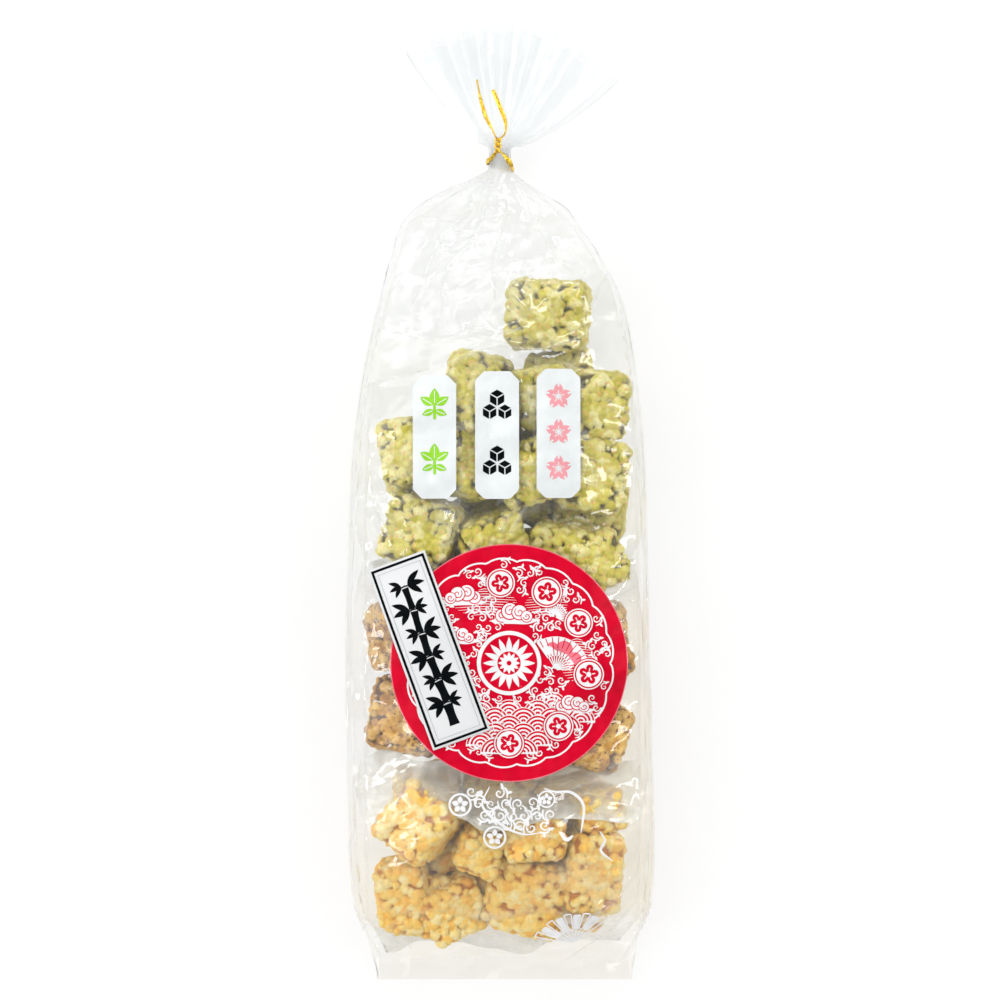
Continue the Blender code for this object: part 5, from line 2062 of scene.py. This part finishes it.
@dataclass(frozen=True)
class Softbox:
    """A soft light: its place and size in metres, its brightness, and the point it faces."""

    name: str
    place: Triple
    size: Pair
    radiance: float
    target: Triple = (0.0, 0.0, 0.02)

    def build(self) -> None:
        """Adds the light. Its power is radiance * pi * area."""
        lamp = bpy.data.lights.new(self.name, "AREA")
        lamp.shape = "RECTANGLE"
        lamp.size, lamp.size_y = self.size
        lamp.energy = self.radiance * math.pi * self.size[0] * self.size[1]
        lit = bpy.data.objects.new(self.name, lamp)
        bpy.context.scene.collection.objects.link(lit)
        lit.location = self.place
        away = np.array(self.place) - np.array(self.target)
        tilt = math.atan2(math.hypot(away[0], away[1]), away[2])
        lit.rotation_euler = (tilt, 0.0, math.atan2(away[0], -away[1]))


@dataclass(frozen=True)
class Studio:
    """Floor, lights, surroundings and the camera, which looks straight down on the bag's front."""

    frame_width: float = 0.382
    camera_height: float = 1.5
    focus_height: float = 0.020
    centre: Pair = (0.0, 0.0002)
    sky: float = 0.80
    zenith: float = 0.32
    floor_half: float = 2000.0
    floor_glow: float = 0.765
    softboxes: tuple[Softbox, ...] = (
        Softbox("key_softbox", (-0.62, 0.42, 1.15), (1.4, 1.2), 1.3),
        Softbox("right_strip", (0.85, 0.10, 0.75), (0.12, 1.0), 9.0),
        Softbox("left_strip", (-0.90, -0.25, 0.60), (0.12, 0.9), 9.0),
        Softbox("top_strip", (0.10, 1.00, 0.75), (0.9, 0.12), 9.0),
    )

    def floor(self) -> None:
        """A wide pale floor just under the bag, which shines faintly like a lit table top."""
        nodes = Nodes("pale_floor")
        inputs = {
            "Base Color": nodes.grey(nodes.noise(60.0, 2.0), 0.3, 0.7, 0.20, 0.21),
            "Roughness": 0.9,
            "Specular IOR Level": 0.1,
            "Emission Color": (1.0, 1.0, 1.0, 1.0),
            "Emission Strength": self.floor_glow,
        }
        corners = self.floor_half * np.array(((-1, -1, 0), (1, -1, 0), (1, 1, 0), (-1, 1, 0)), float)
        make_piece("floor", (corners, np.array(((0, 1, 2, 3),))), [nodes.surface(inputs)], slot=None)

    def surroundings(self) -> None:
        """Soft white light from all around, dimmer straight overhead, where the camera hangs."""
        world = bpy.context.scene.world or bpy.data.worlds.new("studio")
        bpy.context.scene.world = world
        world.use_nodes = True
        background = next(n for n in world.node_tree.nodes if n.type == "BACKGROUND")
        background.inputs["Color"].default_value = (1.0, 1.0, 1.0, 1.0)
        tree = world.node_tree
        way = tree.nodes.new("ShaderNodeTexCoord")
        split = tree.nodes.new("ShaderNodeSeparateXYZ")
        dimming = tree.nodes.new("ShaderNodeMapRange")
        dimming.interpolation_type = "SMOOTHSTEP"
        for number, value in enumerate((0.78, 0.96, self.sky, self.zenith), start=1):
            dimming.inputs[number].default_value = value
        tree.links.new(way.outputs["Generated"], split.inputs[0])
        tree.links.new(split.outputs["Z"], dimming.inputs[0])
        tree.links.new(dimming.outputs[0], background.inputs["Strength"])

    def camera(self) -> None:
        """A long lens above the bag whose square picture is frame_width wide at the focus height."""
        lens = bpy.data.cameras.new("camera")
        lens.sensor_fit = "HORIZONTAL"
        lens.sensor_width = 36.0
        lens.lens = 36.0 * (self.camera_height - self.focus_height) / self.frame_width
        lens.clip_start = 0.05
        lens.clip_end = 20.0
        shot = bpy.data.objects.new("camera", lens)
        bpy.context.scene.collection.objects.link(shot)
        shot.location = (self.centre[0], self.centre[1], self.camera_height)
        bpy.context.scene.camera = shot

    def build(self) -> None:
        """Sets up the studio."""
        scene = bpy.context.scene
        scene.view_settings.view_transform = "Standard"
        scene.view_settings.look = "None"
        scene.cycles.transparent_max_bounces = 16
        scene.cycles.max_bounces = 4
        scene.cycles.diffuse_bounces = 2
        scene.cycles.glossy_bounces = 2
        scene.cycles.transmission_bounces = 3
        self.floor()
        self.surroundings()
        self.camera()
        for softbox in self.softboxes:
            softbox.build()


OUTER_FILM = FilmFinish(
    "outer_film", (0.992, 0.995, 0.994), (0.986, 0.978, 0.950), haze=0.012, cloud=0.05, mirror=0.050,
    roughness=0.07, facet_size=14.0, facet_height=1.0, streak_height=0.03,
)
INNER_FILM = FilmFinish(
    "inner_film", (0.991, 0.993, 0.991), (0.991, 0.986, 0.966), haze=0.012, cloud=0.11, mirror=0.035,
    roughness=0.20, facet_size=9.0, facet_height=0.7, bunched_haze=0.8, milk=0.92, lit_through=0.2,
)
GATHERED_FILM = FilmFinish(
    "gathered_film", (0.990, 0.995, 0.997), (0.990, 0.995, 0.997), haze=0.02, cloud=0.03, mirror=0.03,
    roughness=0.14, facet_size=18.0, facet_height=0.5, milk=0.74,
)
# In each cracker finish the first colour is the shade painted into the gaps between grains.
CRACKERS = {
    Flavour.GREEN_TEA: CrackerFinish(
        "green_tea_crackers", (0.12, 0.09, 0.01), (0.50, 0.44, 0.03), (0.72, 0.64, 0.10),
        (0.92, 0.86, 0.44), (0.82, 0.50, 0.14), 0.04,
    ),
    Flavour.BROWN_SUGAR: CrackerFinish(
        "brown_sugar_crackers", (0.12, 0.04, 0.01), (0.46, 0.20, 0.03), (0.76, 0.42, 0.07),
        (0.93, 0.64, 0.20), (0.24, 0.08, 0.02), 0.04,
    ),
    Flavour.WHITE_SUGAR: CrackerFinish(
        "white_sugar_crackers", (0.60, 0.22, 0.02), (0.97, 0.50, 0.05), (1.0, 0.70, 0.16),
        (1.0, 0.88, 0.48), (0.98, 0.50, 0.05), -0.03,
    ),
}
INK_LOOKS: dict[str, tuple[Triple, tuple[float, ...]]] = {
    "red": ((0.57, 0.0004, 0.020), (0.08, 0.35, 0.0, 0.06)),
    "white": ((0.67, 0.70, 0.705), (0.03,)),
    "white_line": ((0.77, 0.77, 0.78), (0.03,)),
    "pink": ((0.72, 0.13, 0.18), (0.12,)),
    "black": ((0.002, 0.003, 0.004), (0.1, 0.5, 0.0, 0.02)),
    "grey": ((0.42, 0.44, 0.45), (0.05, 0.4, 0.0)),
    "leaf_green": ((0.24, 0.57, 0.006), (0.05, 0.4, 0.0)),
    "blossom_pink": ((0.72, 0.28, 0.31), (0.05, 0.4, 0.0)),
}
INKS = {name: InkFinish(f"{name}_ink", colour, *rest) for name, (colour, rest) in INK_LOOKS.items()}
LABEL_PAPER = PaperFinish("label_paper", (0.66, 0.67, 0.675))
# the second colour is the shade painted into the foil's folds
GOLD_FOIL = FoilFinish("gold_foil", (0.95, 0.66, 0.09), (0.55, 0.28, 0.01))

INNER_BAGS = (
    InnerBag("green_tea_inner_bag", -27.0, 121.5, (13.0, 24.0), end_haze=0.1, seed=200),
    InnerBag("brown_sugar_inner_bag", -124.0, -20.0, (39.0, 36.0), taper=22.0, seed=300),
    InnerBag("white_sugar_inner_bag", -174.0, -95.0, (8.0, 34.0), taper=20.0, seed=400),
)
PLATES = {
    "green_tea_plate": FlavourPlate((-24.6, 23.9), (16.3, 46.4), Mark.TEA_LEAVES, (36.2, 15.5), 5.2),
    "brown_sugar_plate": FlavourPlate((-1.1, 24.6), (16.5, 48.0), Mark.SUGAR_LUMPS, (36.2, 15.2), 5.6),
    "white_sugar_plate": FlavourPlate((22.0, 25.3), (16.5, 48.7), Mark.BLOSSOM, (39.2, 25.8, 12.1), 4.7),
}


def main() -> None:
    """Builds the studio, the crackers, the films, the prints, the label and the tie, in that order."""
    logging.basicConfig(level=logging.INFO, format="%(name)s: %(message)s")
    Studio().build()
    form = BagForm()
    heap = CrackerHeap(form)
    heap.settle()
    cracker_points = heap.build({flavour: finish.build() for flavour, finish in CRACKERS.items()})
    label = PaperLabel()
    front = FrontFilm(form, label.middle, label.half, label.slant)
    front.solve(cracker_points)
    sleeve = OuterFilm(form, front)
    gathered_film = GATHERED_FILM.build()
    sleeve.build(OUTER_FILM.build(), gathered_film)
    inner_film = INNER_FILM.build()
    GatheredFilm(form, sleeve).build(gathered_film)
    for bag in INNER_BAGS:
        bag.build(form, front, inner_film)
    ink = {name: finish.build() for name, finish in INKS.items()}
    Roundel().build(front, (ink["red"], ink["white_line"], ink["pink"]))
    WhiteOrnament().build(front, ink["white_line"])
    for (name, plate), colour in zip(PLATES.items(), ("leaf_green", "black", "blossom_pink")):
        plate.build(name, front, (ink["white"], ink[colour]))
    label.build(front, LABEL_PAPER.build(), (ink["black"], ink["grey"]))
    TwistTie(form).build(GOLD_FOIL.build())


if __name__ == "__main__":
    main()
